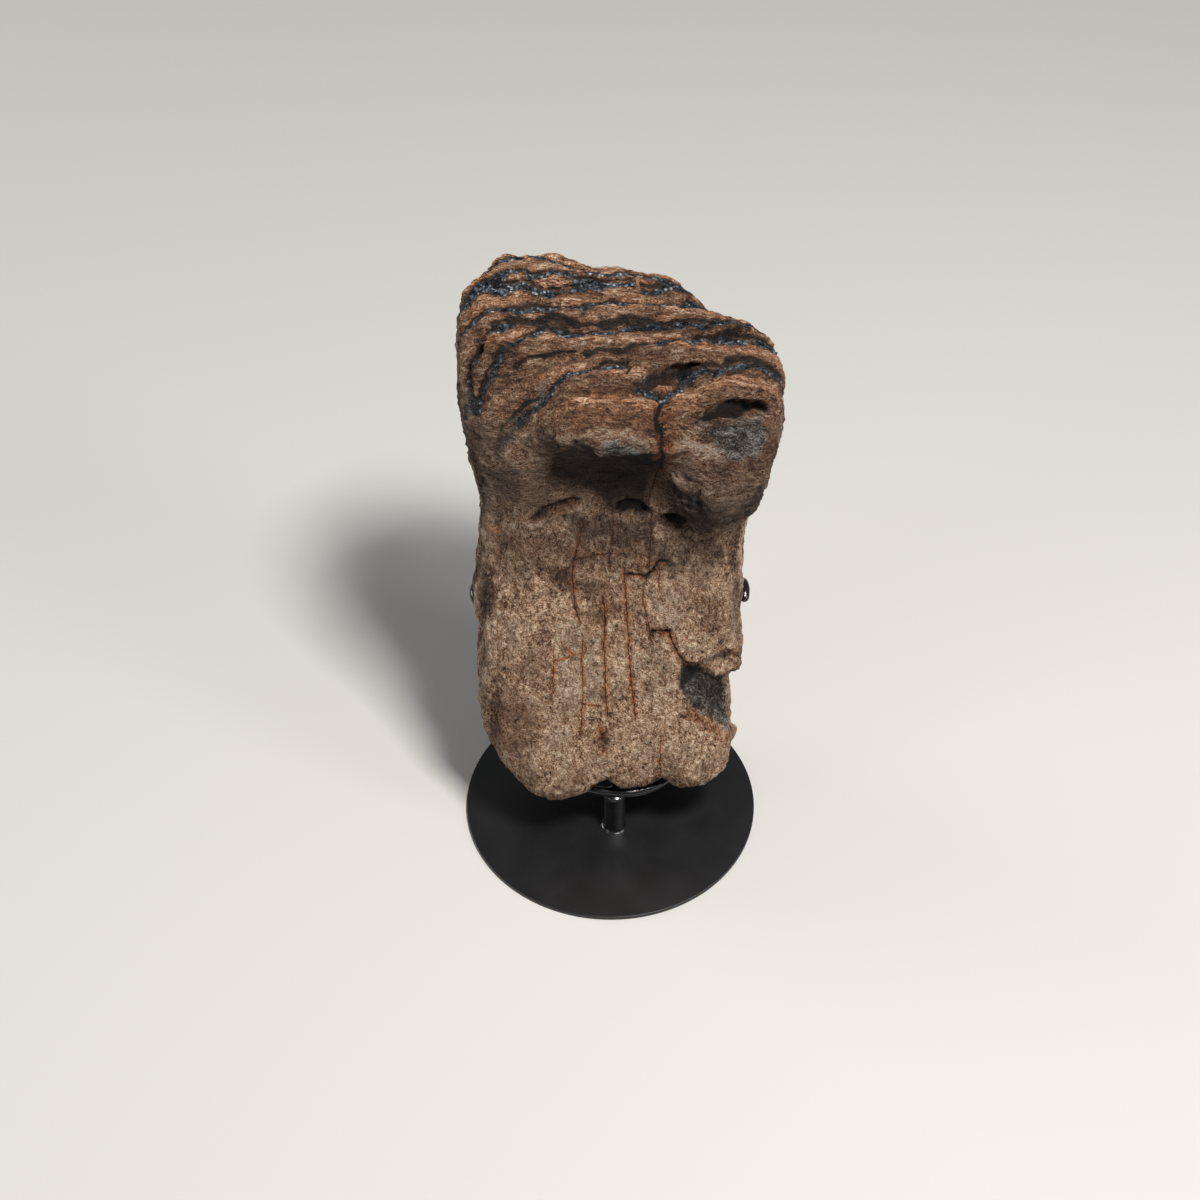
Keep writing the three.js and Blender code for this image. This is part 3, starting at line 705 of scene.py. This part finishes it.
# Nothing in the tooth runs quite straight: each place is read a little to one side of itself, in
# plan, from the front and from the side. Marks fade where the surface turns away from their view.
noise.seed_set(WANDER_SEED)
stray = np.array(
    [noise.noise_vector(Vector(p) / 7) * 0.6 + noise.noise_vector(Vector(p) / 2.3) * 0.5 for p in at]
)
jag = np.array([noise.noise_vector(Vector(p) / 1.1) for p in at])
thickness = 0.9 + 0.7 * np.array([noise.noise(Vector(p) / 4.5) for p in at])
uneven = np.array([noise.noise(Vector(p) / 8) for p in at])
plan = (at + stray + 0.2 * jag)[:, [0, 1]]
front = (at + 1.4 * stray + 0.5 * jag)[:, [0, 2]]
side = (at + 1.4 * stray + 0.5 * jag)[:, [1, 2]]
straight = (at + 0.8 * stray + 0.35 * jag)[:, [0, 2]]
upward = ramp(0.1, 0.45, facing[:, 2]) * ramp(148, 162, z)
top = ramp(-0.15, 0.15, facing[:, 2]) * ramp(150, 160, z)
brow = ramp(166, 170, z)
forward = ramp(-0.05, -0.4, facing[:, 1])
ahead = np.maximum(forward, ramp(-0.15, -0.4, facing[:, 2]) * ramp(18, 12, y))
backward = ramp(0.05, 0.4, facing[:, 1]) * ramp(0.7, 0.4, facing[:, 2])
flank = ramp(0.35, 0.75, np.abs(facing[:, 0]))

# The sheets and their grooves, as drawn on the chewing face and by rule below it. Where they are
# shown is the chewing face and parts of the flanks; lie is where the fibres run level.
sheets = sheet_distance(plan, enamel_sheets) / thickness
narrowed = [(0.7 * width, path) for width, path in enamel_sheets]
grooves = sheet_distance(plan - (0, 1.5), narrowed) / thickness
seams = sheet_distance(plan, dark_seams) / thickness
grooves = np.minimum(grooves + 0.25, seams)
straightened = plan[:, 1] - PLATE_TURN * x + PLATE_BOW * (x / 50) ** 2 - FIRST_PLATE
phase = straightened / PLATE_SPACING
plates = np.abs(np.abs((phase + 1.0) % 1 - 0.5) * PLATE_SPACING - PLATE_HALF)
high = ramp(150, 158, z + 2 * stray[:, 2])
enamel = np.where(high > 0.5, sheets, plates)
groove = np.where(high > 0.5, grooves, np.abs(plates - 1.6))
patchily = ramp(-0.1, 0.2, stray[:, 0] + 0.5 * stray[:, 1])
shown = np.maximum(upward, 0.8 * flank * ramp(118, 160, z) * patchily)
lie = np.maximum(upward, ramp(138, 152, z) * forward)

# The cracks, as distances in half widths: crack to the nearest, across with its side as a sign, and
# gape to the nearest that is wide enough to be cut into the mesh. The others are only coloured.
crack = np.full(count, FAR)
across = np.full(count, FAR)
gape = np.full(count, FAR)
for cracks, places, where in (
    (front_cracks, straight, forward),
    (crown_cracks, plan, brow),
    (back_cracks, front, backward),
    (right_cracks, side, flank * (x > 0)),
    (left_cracks, side, flank * (x < 0)),
):
    for width, path in cracks:
        distance, sign = path_distance(places, path)
        distance = distance / width + 20 * (1 - where)
        nearer = distance < crack
        crack[nearer] = distance[nearer]
        across[nearer] = (sign * distance)[nearer] * (1.0 if width > CUT_CRACK else 1.5)
        if width > CUT_CRACK:
            gape = np.minimum(gape, distance)

# The hollows with their painted shade, the folds, the tints, the rust and the bare places.
dent = np.zeros(count)
shade = np.zeros(count)
for hollows, places, where in (
    (crown_hollows, plan, top),
    (front_hollows, front, ahead),
    (back_hollows, front, backward),
):
    for depth, rim, dark, outline in hollows:
        distance = outline_distance(places, outline) + 0.9 * rim * uneven
        inside = ramp(rim * 0.5, -rim, distance) * where
        dent = np.maximum(dent, depth * inside)
        shade = np.maximum(shade, dark * inside)
fold = np.zeros(count)
for height, width, path in front_folds:
    fold += height * np.exp(-((path_distance(front, path)[0] / width) ** 2)) * forward
# The plates show through as ridges down the flanks, and as shallow flutes on the back.
ridges = np.cos(2 * np.pi * (phase + 0.5)) * flank * ramp(26, 50, z)
flutes = 0.7 * np.cos(front[:, 0] * 0.42) * backward
fold += 0.9 * (ridges + flutes) * ramp(176, 160, z)
tint = np.zeros(count)
for value, rim, outline in front_tints:
    distance = outline_distance(front, outline) + 1.2 * rim * uneven
    tint += value * ramp(rim, -rim, distance) * forward
rust = np.zeros(count)
for blooms, places, where in (
    (front_blooms, front, forward),
    (crown_blooms, plan, top),
    (back_blooms, front, backward),
):
    for strength, reach, path in blooms:
        distance = path_distance(places, path)[0]
        rust = np.maximum(rust, strength * ramp(reach, 0.2 * reach, distance) * where)
bare = np.full(count, FAR)
for outlines, places, where in (
    (front_bare, front, forward),
    (crown_bare, plan, top),
    (back_bare, front, backward),
):
    for outline in outlines:
        bare = np.minimum(bare, outline_distance(places, outline) + 20 * (1 - ramp(0, 0.2, where)))

for name, values in (
    ("enamel", enamel),
    ("groove", groove),
    ("crack", crack),
    ("across", across),
    ("gape", gape),
    ("dent", dent),
    ("shade", shade),
    ("fold", fold),
    ("tint", tint),
    ("rust", rust),
    ("bare", bare),
    ("crown", upward),
    ("shown", shown),
    ("lie", lie),
):
    layer = even_mesh.attributes.new(name, "FLOAT", "POINT")
    layer.data.foreach_set("value", values.astype(np.float32))

# The relief. Each height is along the surface's normal, in mm: the cementum stands up between the
# sheets, is cut by the wide cracks, and has a grain of short fibres, with pits where they fell out.
relief_tree, given = new_tree(
    "tooth_relief",
    [
        ("Band height", "NodeSocketFloat", 0.95),
        ("Groove depth", "NodeSocketFloat", 1.3),
        ("Enamel height", "NodeSocketFloat", 0.5),
        ("Crack depth", "NodeSocketFloat", 1.3),
        ("Lump height", "NodeSocketFloat", 2.1),
        ("Lump size", "NodeSocketFloat", 12.0),
        ("Grain height", "NodeSocketFloat", 1.35),
        ("Grain size", "NodeSocketFloat", 3.2),
        ("Pit depth", "NodeSocketFloat", 0.8),
        ("Pit spacing", "NodeSocketFloat", 4.2),
        ("Seed", "NodeSocketFloat", 4.0),
        ("Fossil", "NodeSocketMaterial", None),
    ],
)
fields = {}
for name in ("enamel", "groove", "gape", "dent", "fold", "shown", "lie"):
    fields[name] = add_node(
        relief_tree, "GeometryNodeInputNamedAttribute", {"data_type": "FLOAT"}, {"Name": name}
    ).outputs["Attribute"]
spot = add_node(relief_tree, "GeometryNodeInputPosition")
millimetres = add_node(
    relief_tree, "ShaderNodeVectorMath", {"operation": "SCALE"}, {0: spot, "Scale": 1000.0}
)
upright = add_node(
    relief_tree, "ShaderNodeVectorMath", {"operation": "MULTIPLY"}, {0: millimetres, 1: (1.0, 1.0, 0.5)}
)
crosswise = add_node(
    relief_tree, "ShaderNodeVectorMath", {"operation": "MULTIPLY"}, {0: millimetres, 1: (0.35, 1.0, 1.0)}
)
grained = add_node(
    relief_tree,
    "ShaderNodeMix",
    {"data_type": "VECTOR"},
    {0: fields["lie"], 4: upright.outputs[0], 5: crosswise.outputs[0]},
)

# The fine part starts from the folds. Each band, crest of enamel, groove and crack is a bell in
# section, with its distance, spread, height and sign; the lumps, grain and pits are added to them.
times = {"operation": "MULTIPLY"}
times_plus = {"operation": "MULTIPLY_ADD"}
over = {"operation": "DIVIDE"}
fine = fields["fold"]
for field, spread, height, sign in (
    ("enamel", 2.2, "Band height", -1.0),
    ("enamel", 0.9, "Enamel height", 1.0),
    ("groove", 1.0, "Groove depth", -1.0),
    ("gape", 1.5, "Crack depth", -1.0),
):
    ratio = add_node(relief_tree, "ShaderNodeMath", over, {0: fields[field], 1: spread})
    square = add_node(relief_tree, "ShaderNodeMath", times, {0: ratio, 1: ratio})
    minus = add_node(relief_tree, "ShaderNodeMath", times, {0: square, 1: -1.0})
    bell = add_node(relief_tree, "ShaderNodeMath", {"operation": "EXPONENT"}, {0: minus})
    step = add_node(relief_tree, "ShaderNodeMath", times, {0: bell, 1: given[height]})
    if field != "gape":
        step = add_node(relief_tree, "ShaderNodeMath", times, {0: step, 1: fields["shown"]})
    fine = add_node(relief_tree, "ShaderNodeMath", times_plus, {0: step, 1: sign, 2: fine})
for vector, size, height, detail, offset in (
    (millimetres, "Lump size", "Lump height", 3.0, 0.0),
    (grained, "Grain size", "Grain height", 4.0, 17.0),
):
    scale = add_node(relief_tree, "ShaderNodeMath", over, {0: 1.0, 1: given[size]})
    turn = add_node(relief_tree, "ShaderNodeMath", {"operation": "ADD"}, {0: given["Seed"], 1: offset})
    wave = add_node(
        relief_tree,
        "ShaderNodeTexNoise",
        {"noise_dimensions": "4D"},
        {"Vector": vector, "W": turn, "Scale": scale, "Detail": detail, "Roughness": 0.65, "Distortion": 0.4},
    )
    centred = add_node(relief_tree, "ShaderNodeMath", times_plus, {0: wave, 1: 2.0, 2: -1.0})
    fine = add_node(relief_tree, "ShaderNodeMath", times_plus, {0: centred, 1: given[height], 2: fine})
scale = add_node(relief_tree, "ShaderNodeMath", over, {0: 1.0, 1: given["Pit spacing"]})
cells = add_node(
    relief_tree,
    "ShaderNodeTexVoronoi",
    {"voronoi_dimensions": "4D"},
    {"Vector": grained, "W": given["Seed"], "Scale": scale},
)
pit = add_node(
    relief_tree,
    "ShaderNodeMapRange",
    {"interpolation_type": "SMOOTHSTEP"},
    {"Value": cells.outputs["Distance"], "From Min": 0.34, "From Max": 0.12, "To Min": 0.0, "To Max": -1.0},
)
fine = add_node(relief_tree, "ShaderNodeMath", times_plus, {0: pit, 1: given["Pit depth"], 2: fine})
# The height is kept for the material, which paints the low places darker and the high ones paler as painted
# shade and light.
noted = add_node(
    relief_tree,
    "GeometryNodeStoreNamedAttribute",
    {"data_type": "FLOAT", "domain": "POINT"},
    {"Geometry": given["Geometry"], "Name": "relief", "Value": fine},
)
total = add_node(relief_tree, "ShaderNodeMath", {"operation": "SUBTRACT"}, {0: fine, 1: fields["dent"]})
metres = add_node(relief_tree, "ShaderNodeMath", times, {0: total, 1: 0.001})
outward = add_node(relief_tree, "GeometryNodeInputNormal")
shift = add_node(relief_tree, "ShaderNodeVectorMath", {"operation": "SCALE"}, {0: outward, "Scale": metres})
skin = add_node(relief_tree, "GeometryNodeSetPosition", links={"Geometry": noted, "Offset": shift})
skin = add_node(relief_tree, "GeometryNodeSetShadeSmooth", links={"Geometry": skin})
skin = add_node(relief_tree, "GeometryNodeRealizeInstances", links={"Geometry": skin})
skin = add_node(relief_tree, "GeometryNodeSetMaterial", links={"Geometry": skin, "Material": given["Fossil"]})
add_node(relief_tree, "NodeGroupOutput", links={"Geometry": skin})

# Fossil tooth: a stony brown material, dry and matt in the cementum, with the enamel still glassy.
fossil, tree, shader, place = new_material("fossil_tooth")
millimetres = add_node(tree, "ShaderNodeVectorMath", {"operation": "SCALE"}, {0: place, "Scale": 1000.0})
fields = {}
for name in (
    "enamel", "groove", "crack", "across", "shade", "fold", "tint",
    "rust", "bare", "crown", "shown", "lie", "relief",
):
    fields[name] = add_node(tree, "ShaderNodeAttribute", {"attribute_name": name}).outputs["Fac"]
upright = add_node(tree, "ShaderNodeVectorMath", times, {0: millimetres, 1: (1.0, 1.0, 0.6)})
crosswise = add_node(tree, "ShaderNodeVectorMath", times, {0: millimetres, 1: (0.4, 1.0, 1.0)})
grained = add_node(
    tree,
    "ShaderNodeMix",
    {"data_type": "VECTOR"},
    {0: fields["lie"], 4: upright.outputs[0], 5: crosswise.outputs[0]},
).outputs[1]

# Its noises, by their size in mm: short fibres, grit, a mottle and wide stains.
noises = []
for vector, size, detail, rough, distortion in (
    (grained, 1.5, 4.0, 0.7, 0.8),
    (millimetres, 0.6, 3.0, 0.65, 0.0),
    (millimetres, 5.5, 4.0, 0.65, 0.0),
    (millimetres, 19, 5.0, 0.6, 0.0),
):
    texture = add_node(tree, "ShaderNodeTexNoise", links={"Vector": vector, "Scale": 1 / size})
    texture.inputs["Detail"].default_value = detail
    texture.inputs["Roughness"].default_value = rough
    texture.inputs["Distortion"].default_value = distortion
    noises.append(texture)
fibres, grit, mottle, stains = noises

# What the mottle does: where it is high the skin is pocked with holes, rust shows by the cracks and
# in the blooms, cracks are partly filled and the enamel has broken away.
readings = []
for low, high, least, most in (
    (0.52, 0.63, 0.0, 1.0),
    (0.4, 0.56, 0.45, 1.0),
    (0.35, 0.55, 0.4, 1.0),
    (0.42, 0.62, 1.0, 0.8),
    (0.44, 0.6, -0.25, 0.7),
):
    reading = add_node(tree, "ShaderNodeMapRange", links={"Value": mottle, "From Min": low, "From Max": high})
    reading.inputs["To Min"].default_value = least
    reading.inputs["To Max"].default_value = most
    readings.append(reading)
pocked, patchy, blooming, filled, broken = readings
holes = add_node(tree, "ShaderNodeTexVoronoi", links={"Vector": grained, "Scale": 1 / 1.9})
hole = add_node(
    tree,
    "ShaderNodeMapRange",
    {"interpolation_type": "SMOOTHSTEP"},
    {"Value": holes.outputs["Distance"], "From Min": 0.3, "From Max": 0.12},
)
hole = add_node(tree, "ShaderNodeMath", times, {0: hole, 1: pocked})
prisms = add_node(tree, "ShaderNodeTexVoronoi", links={"Vector": millimetres, "Scale": 1 / 0.95})
# Each prism's own colour from dark to pale; the palest cells are painted glints.
prism_tone_and_glints = add_node(tree, "ShaderNodeSeparateColor", links={0: prisms.outputs["Color"]})

# The tone is set by the grain and by the lie of the surface: the low places and furrows are painted
# darker and the high ones and ridges paler, as painted shade and light. It picks the colour of the skin, the
# chewing face, the rust, the painted shade in the grooves and the bare dentine; each prism of the enamel has
# a colour of its own, the palest of them painted glints.
tone = -0.51
for source, weight in (
    (grit, 0.6),
    (stains, 0.3),
    (mottle, 0.25),
    (fields["fold"], 0.05),
    (fields["tint"], 0.06),
    (fibres, 0.88),
    (fields["relief"], 0.03),
):
    tone = add_node(tree, "ShaderNodeMath", times_plus, {0: source, 1: weight, 2: tone})
ramps = []
for source, stops in (
    (tone, [(0.31, "#2b170c"), (0.38, "#6e4a32"), (0.45, "#9b7659"), (0.545, "#c39f81"), (0.67, "#f0d6bb")]),
    (tone, [(0.31, "#2e1a11"), (0.39, "#68442c"), (0.47, "#99694a"), (0.56, "#c49470"), (0.67, "#f3d9c0")]),
    (tone, [(0.35, "#3a1d0c"), (0.5, "#83481f"), (0.65, "#c07a44")]),
    (tone, [(0.42, "#0e0a07"), (0.66, "#4d3f30")]),
    (tone, [(0.4, "#1d1612"), (0.52, "#5c544d"), (0.66, "#b2b0ac")]),
    (prism_tone_and_glints, [(0.1, "#1a1b1d"), (0.4, "#343a41"), (0.68, "#565f69"), (0.88, "#7f8993"), (0.97, "#b4bcc2")]),
):
    scale = add_node(tree, "ShaderNodeValToRGB", links={0: source})
    marks = scale.color_ramp.elements
    marks[0].position, marks[1].position = stops[0][0], stops[-1][0]
    marks[0].color, marks[1].color = linear(stops[0][1]), linear(stops[-1][1])
    for position, paint in stops[1:-1]:
        marks.new(position).color = linear(paint)
    ramps.append(scale)
skin_colour, crown_colour, rust_colour, groove_shade_colour, dentine_colour, prism_colour = ramps
prism_gap = add_node(
    tree,
    "ShaderNodeMapRange",
    links={"Value": prisms.outputs["Distance"], "From Min": 0.4, "From Max": 0.66, "To Max": 0.75},
)
prism_colour = add_node(
    tree, "ShaderNodeMix", {"data_type": "RGBA"}, {0: prism_gap, 6: prism_colour, 7: linear("#0c0d0f")}
).outputs[2]

# The distances that the marks are drawn by, each with a ragged edge: from a crack, from its dark
# core, from a groove, from a sheet of enamel and from a bare place.
ragged = add_node(tree, "ShaderNodeMath", times_plus, {0: grit, 1: -1.6, 2: 0.8})
by_crack = add_node(tree, "ShaderNodeMath", {"operation": "ADD"}, {0: fields["crack"], 1: ragged})
by_core = add_node(tree, "ShaderNodeMath", {"operation": "ABSOLUTE"}, {0: fields["across"]})
other = add_node(tree, "ShaderNodeMath", {"operation": "SUBTRACT"}, {0: fields["crack"], 1: 1.8})
by_core = add_node(tree, "ShaderNodeMath", {"operation": "MAXIMUM"}, {0: by_core, 1: other})
by_core = add_node(tree, "ShaderNodeMath", times_plus, {0: ragged, 1: 0.6, 2: by_core})
by_groove = add_node(tree, "ShaderNodeMath", times_plus, {0: ragged, 1: 0.9, 2: fields["groove"]})
by_sheet = add_node(tree, "ShaderNodeMath", times_plus, {0: ragged, 1: 0.8, 2: fields["enamel"]})
by_sheet = add_node(tree, "ShaderNodeMath", {"operation": "ADD"}, {0: by_sheet, 1: broken})
by_bare = add_node(tree, "ShaderNodeMath", times_plus, {0: mottle, 1: -5.0, 2: 2.5})
by_bare = add_node(tree, "ShaderNodeMath", {"operation": "ADD"}, {0: by_bare, 1: ragged})
by_bare = add_node(tree, "ShaderNodeMath", {"operation": "ADD"}, {0: by_bare, 1: fields["bare"]})
amounts = []
for source, low, high, most in (
    (by_crack, 1.2, 5.0, 1.0),
    (by_core, 0.6, 1.05, 1.0),
    (by_groove, 0.7, 1.25, 0.94),
    (by_sheet, 1.2, 1.75, 0.8),
    (by_sheet, 0.95, 1.2, 1.0),
    (by_bare, -2.2, 0.5, 0.95),
):
    amount = add_node(tree, "ShaderNodeMapRange", links={"Value": source, "From Min": low, "From Max": high})
    amount.inputs["To Min"].default_value = most
    amount.inputs["To Max"].default_value = 0.0
    amounts.append(amount)
rusty, core, painted_groove_shade, edge, sheet, dentine = amounts
rusty = add_node(tree, "ShaderNodeMath", times, {0: rusty, 1: patchy})
bloom = add_node(tree, "ShaderNodeMath", times, {0: fields["rust"], 1: blooming})
rusty = add_node(tree, "ShaderNodeMath", {"operation": "MAXIMUM"}, {0: rusty, 1: bloom})
core = add_node(tree, "ShaderNodeMath", times, {0: core, 1: filled})
# Painted shade in the grooves beside the enamel sheets, drawn dark where they show.
painted_groove_shade = add_node(tree, "ShaderNodeMath", times, {0: painted_groove_shade, 1: fields["shown"]})
edge = add_node(tree, "ShaderNodeMath", times, {0: edge, 1: fields["shown"]})
sheet = add_node(tree, "ShaderNodeMath", times, {0: sheet, 1: fields["shown"]})
# Painted shade in the pits: each hole is drawn near black.
painted_pit_shade = add_node(tree, "ShaderNodeMath", times, {0: hole, 1: 0.85})

# The skin is worn on the chewing face, stained in five ways, and then laid over with the rest, ending with
# the painted shade of the hollows and overhangs.
clamped = {"use_clamp": True}
worn = add_node(tree, "ShaderNodeMath", times_plus, {0: mottle, 1: 1.6, 2: -0.8})
worn = add_node(tree, "ShaderNodeMath", {"operation": "ADD", **clamped}, {0: worn, 1: fields["crown"]})
worn = add_node(tree, "ShaderNodeMath", {**times, **clamped}, {0: worn, 1: fields["crown"]})
layers = [(worn, "MIX", crown_colour)]
for source, low, high, most, paint in (
    (stains, 0.5, 0.66, 0.8, "#8f7860"),
    (mottle, 0.54, 0.7, 0.6, "#8a6c52"),
    (stains, 0.47, 0.36, 0.5, "#b0aea4"),
    (fields["tint"], 0.1, 1.0, 0.55, "#c3c4c2"),
    (fields["tint"], -0.1, -1.0, 0.8, "#8a6448"),
):
    amount = add_node(tree, "ShaderNodeMapRange", links={"Value": source, "From Min": low, "From Max": high})
    amount.inputs["To Max"].default_value = most
    layers.append((amount, "MULTIPLY", linear(paint)))
layers += [
    (painted_pit_shade, "MIX", linear("#1c110a")),
    (rusty, "MIX", rust_colour),
    (core, "MIX", linear("#0b0604")),
    (painted_groove_shade, "MIX", groove_shade_colour),
    (edge, "MIX", linear("#2a1c13")),
    (sheet, "MIX", prism_colour),
    (dentine, "MIX", dentine_colour),
    # Painted shade, multiplied over all: in the hollows, under the overhangs of the head and ledge, and over
    # the zones listed as hollows of no depth.
    (fields["shade"], "MULTIPLY", linear("#261910")),
]
colour = skin_colour
for amount, blend, paint in layers:
    settings = {"data_type": "RGBA", "blend_type": blend}
    colour = add_node(tree, "ShaderNodeMix", settings, {0: amount, 6: colour, 7: paint}).outputs[2]

roughness = add_node(tree, "ShaderNodeMapRange", links={"Value": sheet, "To Min": 0.74, "To Max": 0.34})
height = add_node(tree, "ShaderNodeMath", times_plus, {0: grit, 1: 0.4, 2: fibres})
height = add_node(tree, "ShaderNodeMath", times_plus, {0: hole, 1: -0.45, 2: height})
relief = add_node(tree, "ShaderNodeBump", links={"Strength": 1.0, "Distance": 0.0052, "Height": height})
prism_height = add_node(tree, "ShaderNodeMath", times, {0: prisms.outputs["Distance"], 1: sheet})
relief = add_node(
    tree,
    "ShaderNodeBump",
    {"invert": True},
    {"Strength": 0.9, "Distance": 0.0006, "Height": prism_height, "Normal": relief},
)
tree.links.new(colour, shader.inputs["Base Color"])
tree.links.new(roughness.outputs[0], shader.inputs["Roughness"])
tree.links.new(relief.outputs[0], shader.inputs["Normal"])
shader.inputs["IOR"].default_value = 1.5
shader.inputs["Specular IOR Level"].default_value = 0.3

source = bpy.data.objects.new("tooth_even", even_mesh)
bpy.context.scene.collection.objects.link(source)
tooth = baked("tooth", source, relief_tree, {"Fossil": fossil})

# Where the rods are bedded, the surface is kept just clear of them. It is done in lots, for memory.
count = len(tooth.data.vertices)
at = np.zeros(count * 3, np.float32)
tooth.data.vertices.foreach_get("co", at)
at = at.reshape(-1, 3).astype(float)
for line in rod_paths:
    line = np.array(line) / 1000
    close = np.flatnonzero(((at > line.min(0) - 0.003) & (at < line.max(0) + 0.003)).all(1))
    for first in range(0, len(close), 4000):
        some = close[first : first + 4000]
        gaps = at[some][:, None, :] - line[None]
        nearest = np.argmin((gaps**2).sum(2), axis=1)
        away = gaps[np.arange(len(some)), nearest]
        reach = np.sqrt((away**2).sum(1))
        wanted = np.maximum(reach, (ROD_RADIUS + ROD_CLEARANCE) / 1000)
        at[some] = line[nearest] + away * (wanted / reach)[:, None]
tooth.data.vertices.foreach_set("co", at.astype(np.float32).ravel())
tooth.data.update()
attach(tooth, "root")
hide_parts("mammoth_molar")

# ---------------------------------------------------------------------------------------------
# The table, the lights and the camera: a pale matt table top under soft studio light.

TABLE_REACH = 6  # m from the part to the table's edge
LIT_POINT = (0, 0.02, 0.09)  # what every softbox is turned to
CAMERA_AT = (-0.00365, -0.55996, 0.69053)
CAMERA_TILT = 43.697  # degrees up from looking straight down

table_top, tree, shader, place = new_material("pale_matt_table")
shader.inputs["Base Color"].default_value = linear("#b4b2ae")
shader.inputs["Roughness"].default_value = 0.8
mesh = bpy.data.meshes.new("table")
corners = [(x * TABLE_REACH, y * TABLE_REACH, 0) for x, y in ((-1, -1), (1, -1), (1, 1), (-1, 1))]
mesh.from_pydata(corners, [], [(0, 1, 2, 3)])
mesh.materials.append(table_top)
table = bpy.data.objects.new("table", mesh)
bpy.context.scene.collection.objects.link(table)
table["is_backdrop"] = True

# Each light's name, place and size in m, power in W and colour.
for name, place, size, power, colour in (
    ("overhead_softbox", (0.3, -0.36, 1.15), (0.22, 0.22), 22, (1.0, 0.98, 0.95)),
    ("left_softbox", (-0.8, -0.45, 0.55), (0.2, 0.6), 1.3, (1.0, 1.0, 1.0)),
    ("right_softbox", (0.8, -0.4, 0.6), (0.2, 0.6), 3.0, (1.0, 1.0, 1.0)),
    ("back_softbox", (-0.95, 0.5, 0.6), (0.5, 0.5), 4.0, (1.0, 0.99, 0.97)),
):
    lamp = bpy.data.lights.new(name, "AREA")
    lamp.shape = "RECTANGLE"
    lamp.size, lamp.size_y = size
    lamp.energy = power
    lamp.color = colour
    light = bpy.data.objects.new(name, lamp)
    light.location = place
    light.rotation_euler = (Vector(LIT_POINT) - Vector(place)).to_track_quat("-Z", "Y").to_euler()
    bpy.context.scene.collection.objects.link(light)
world = bpy.data.worlds.new("studio")
world.use_nodes = True
world.node_tree.nodes["Background"].inputs["Color"].default_value = linear("#d8dce2")
world.node_tree.nodes["Background"].inputs["Strength"].default_value = 0.24
bpy.context.scene.world = world
bpy.context.scene.view_settings.view_transform = "Standard"

lens = bpy.data.cameras.new("camera")
lens.lens = 75
lens.sensor_width = 36
lens.clip_start = 0.05
camera = bpy.data.objects.new("camera", lens)
camera.location = CAMERA_AT
camera.rotation_euler = (math.radians(CAMERA_TILT), 0, 0)
bpy.context.scene.collection.objects.link(camera)
bpy.context.scene.camera = camera

low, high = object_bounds()
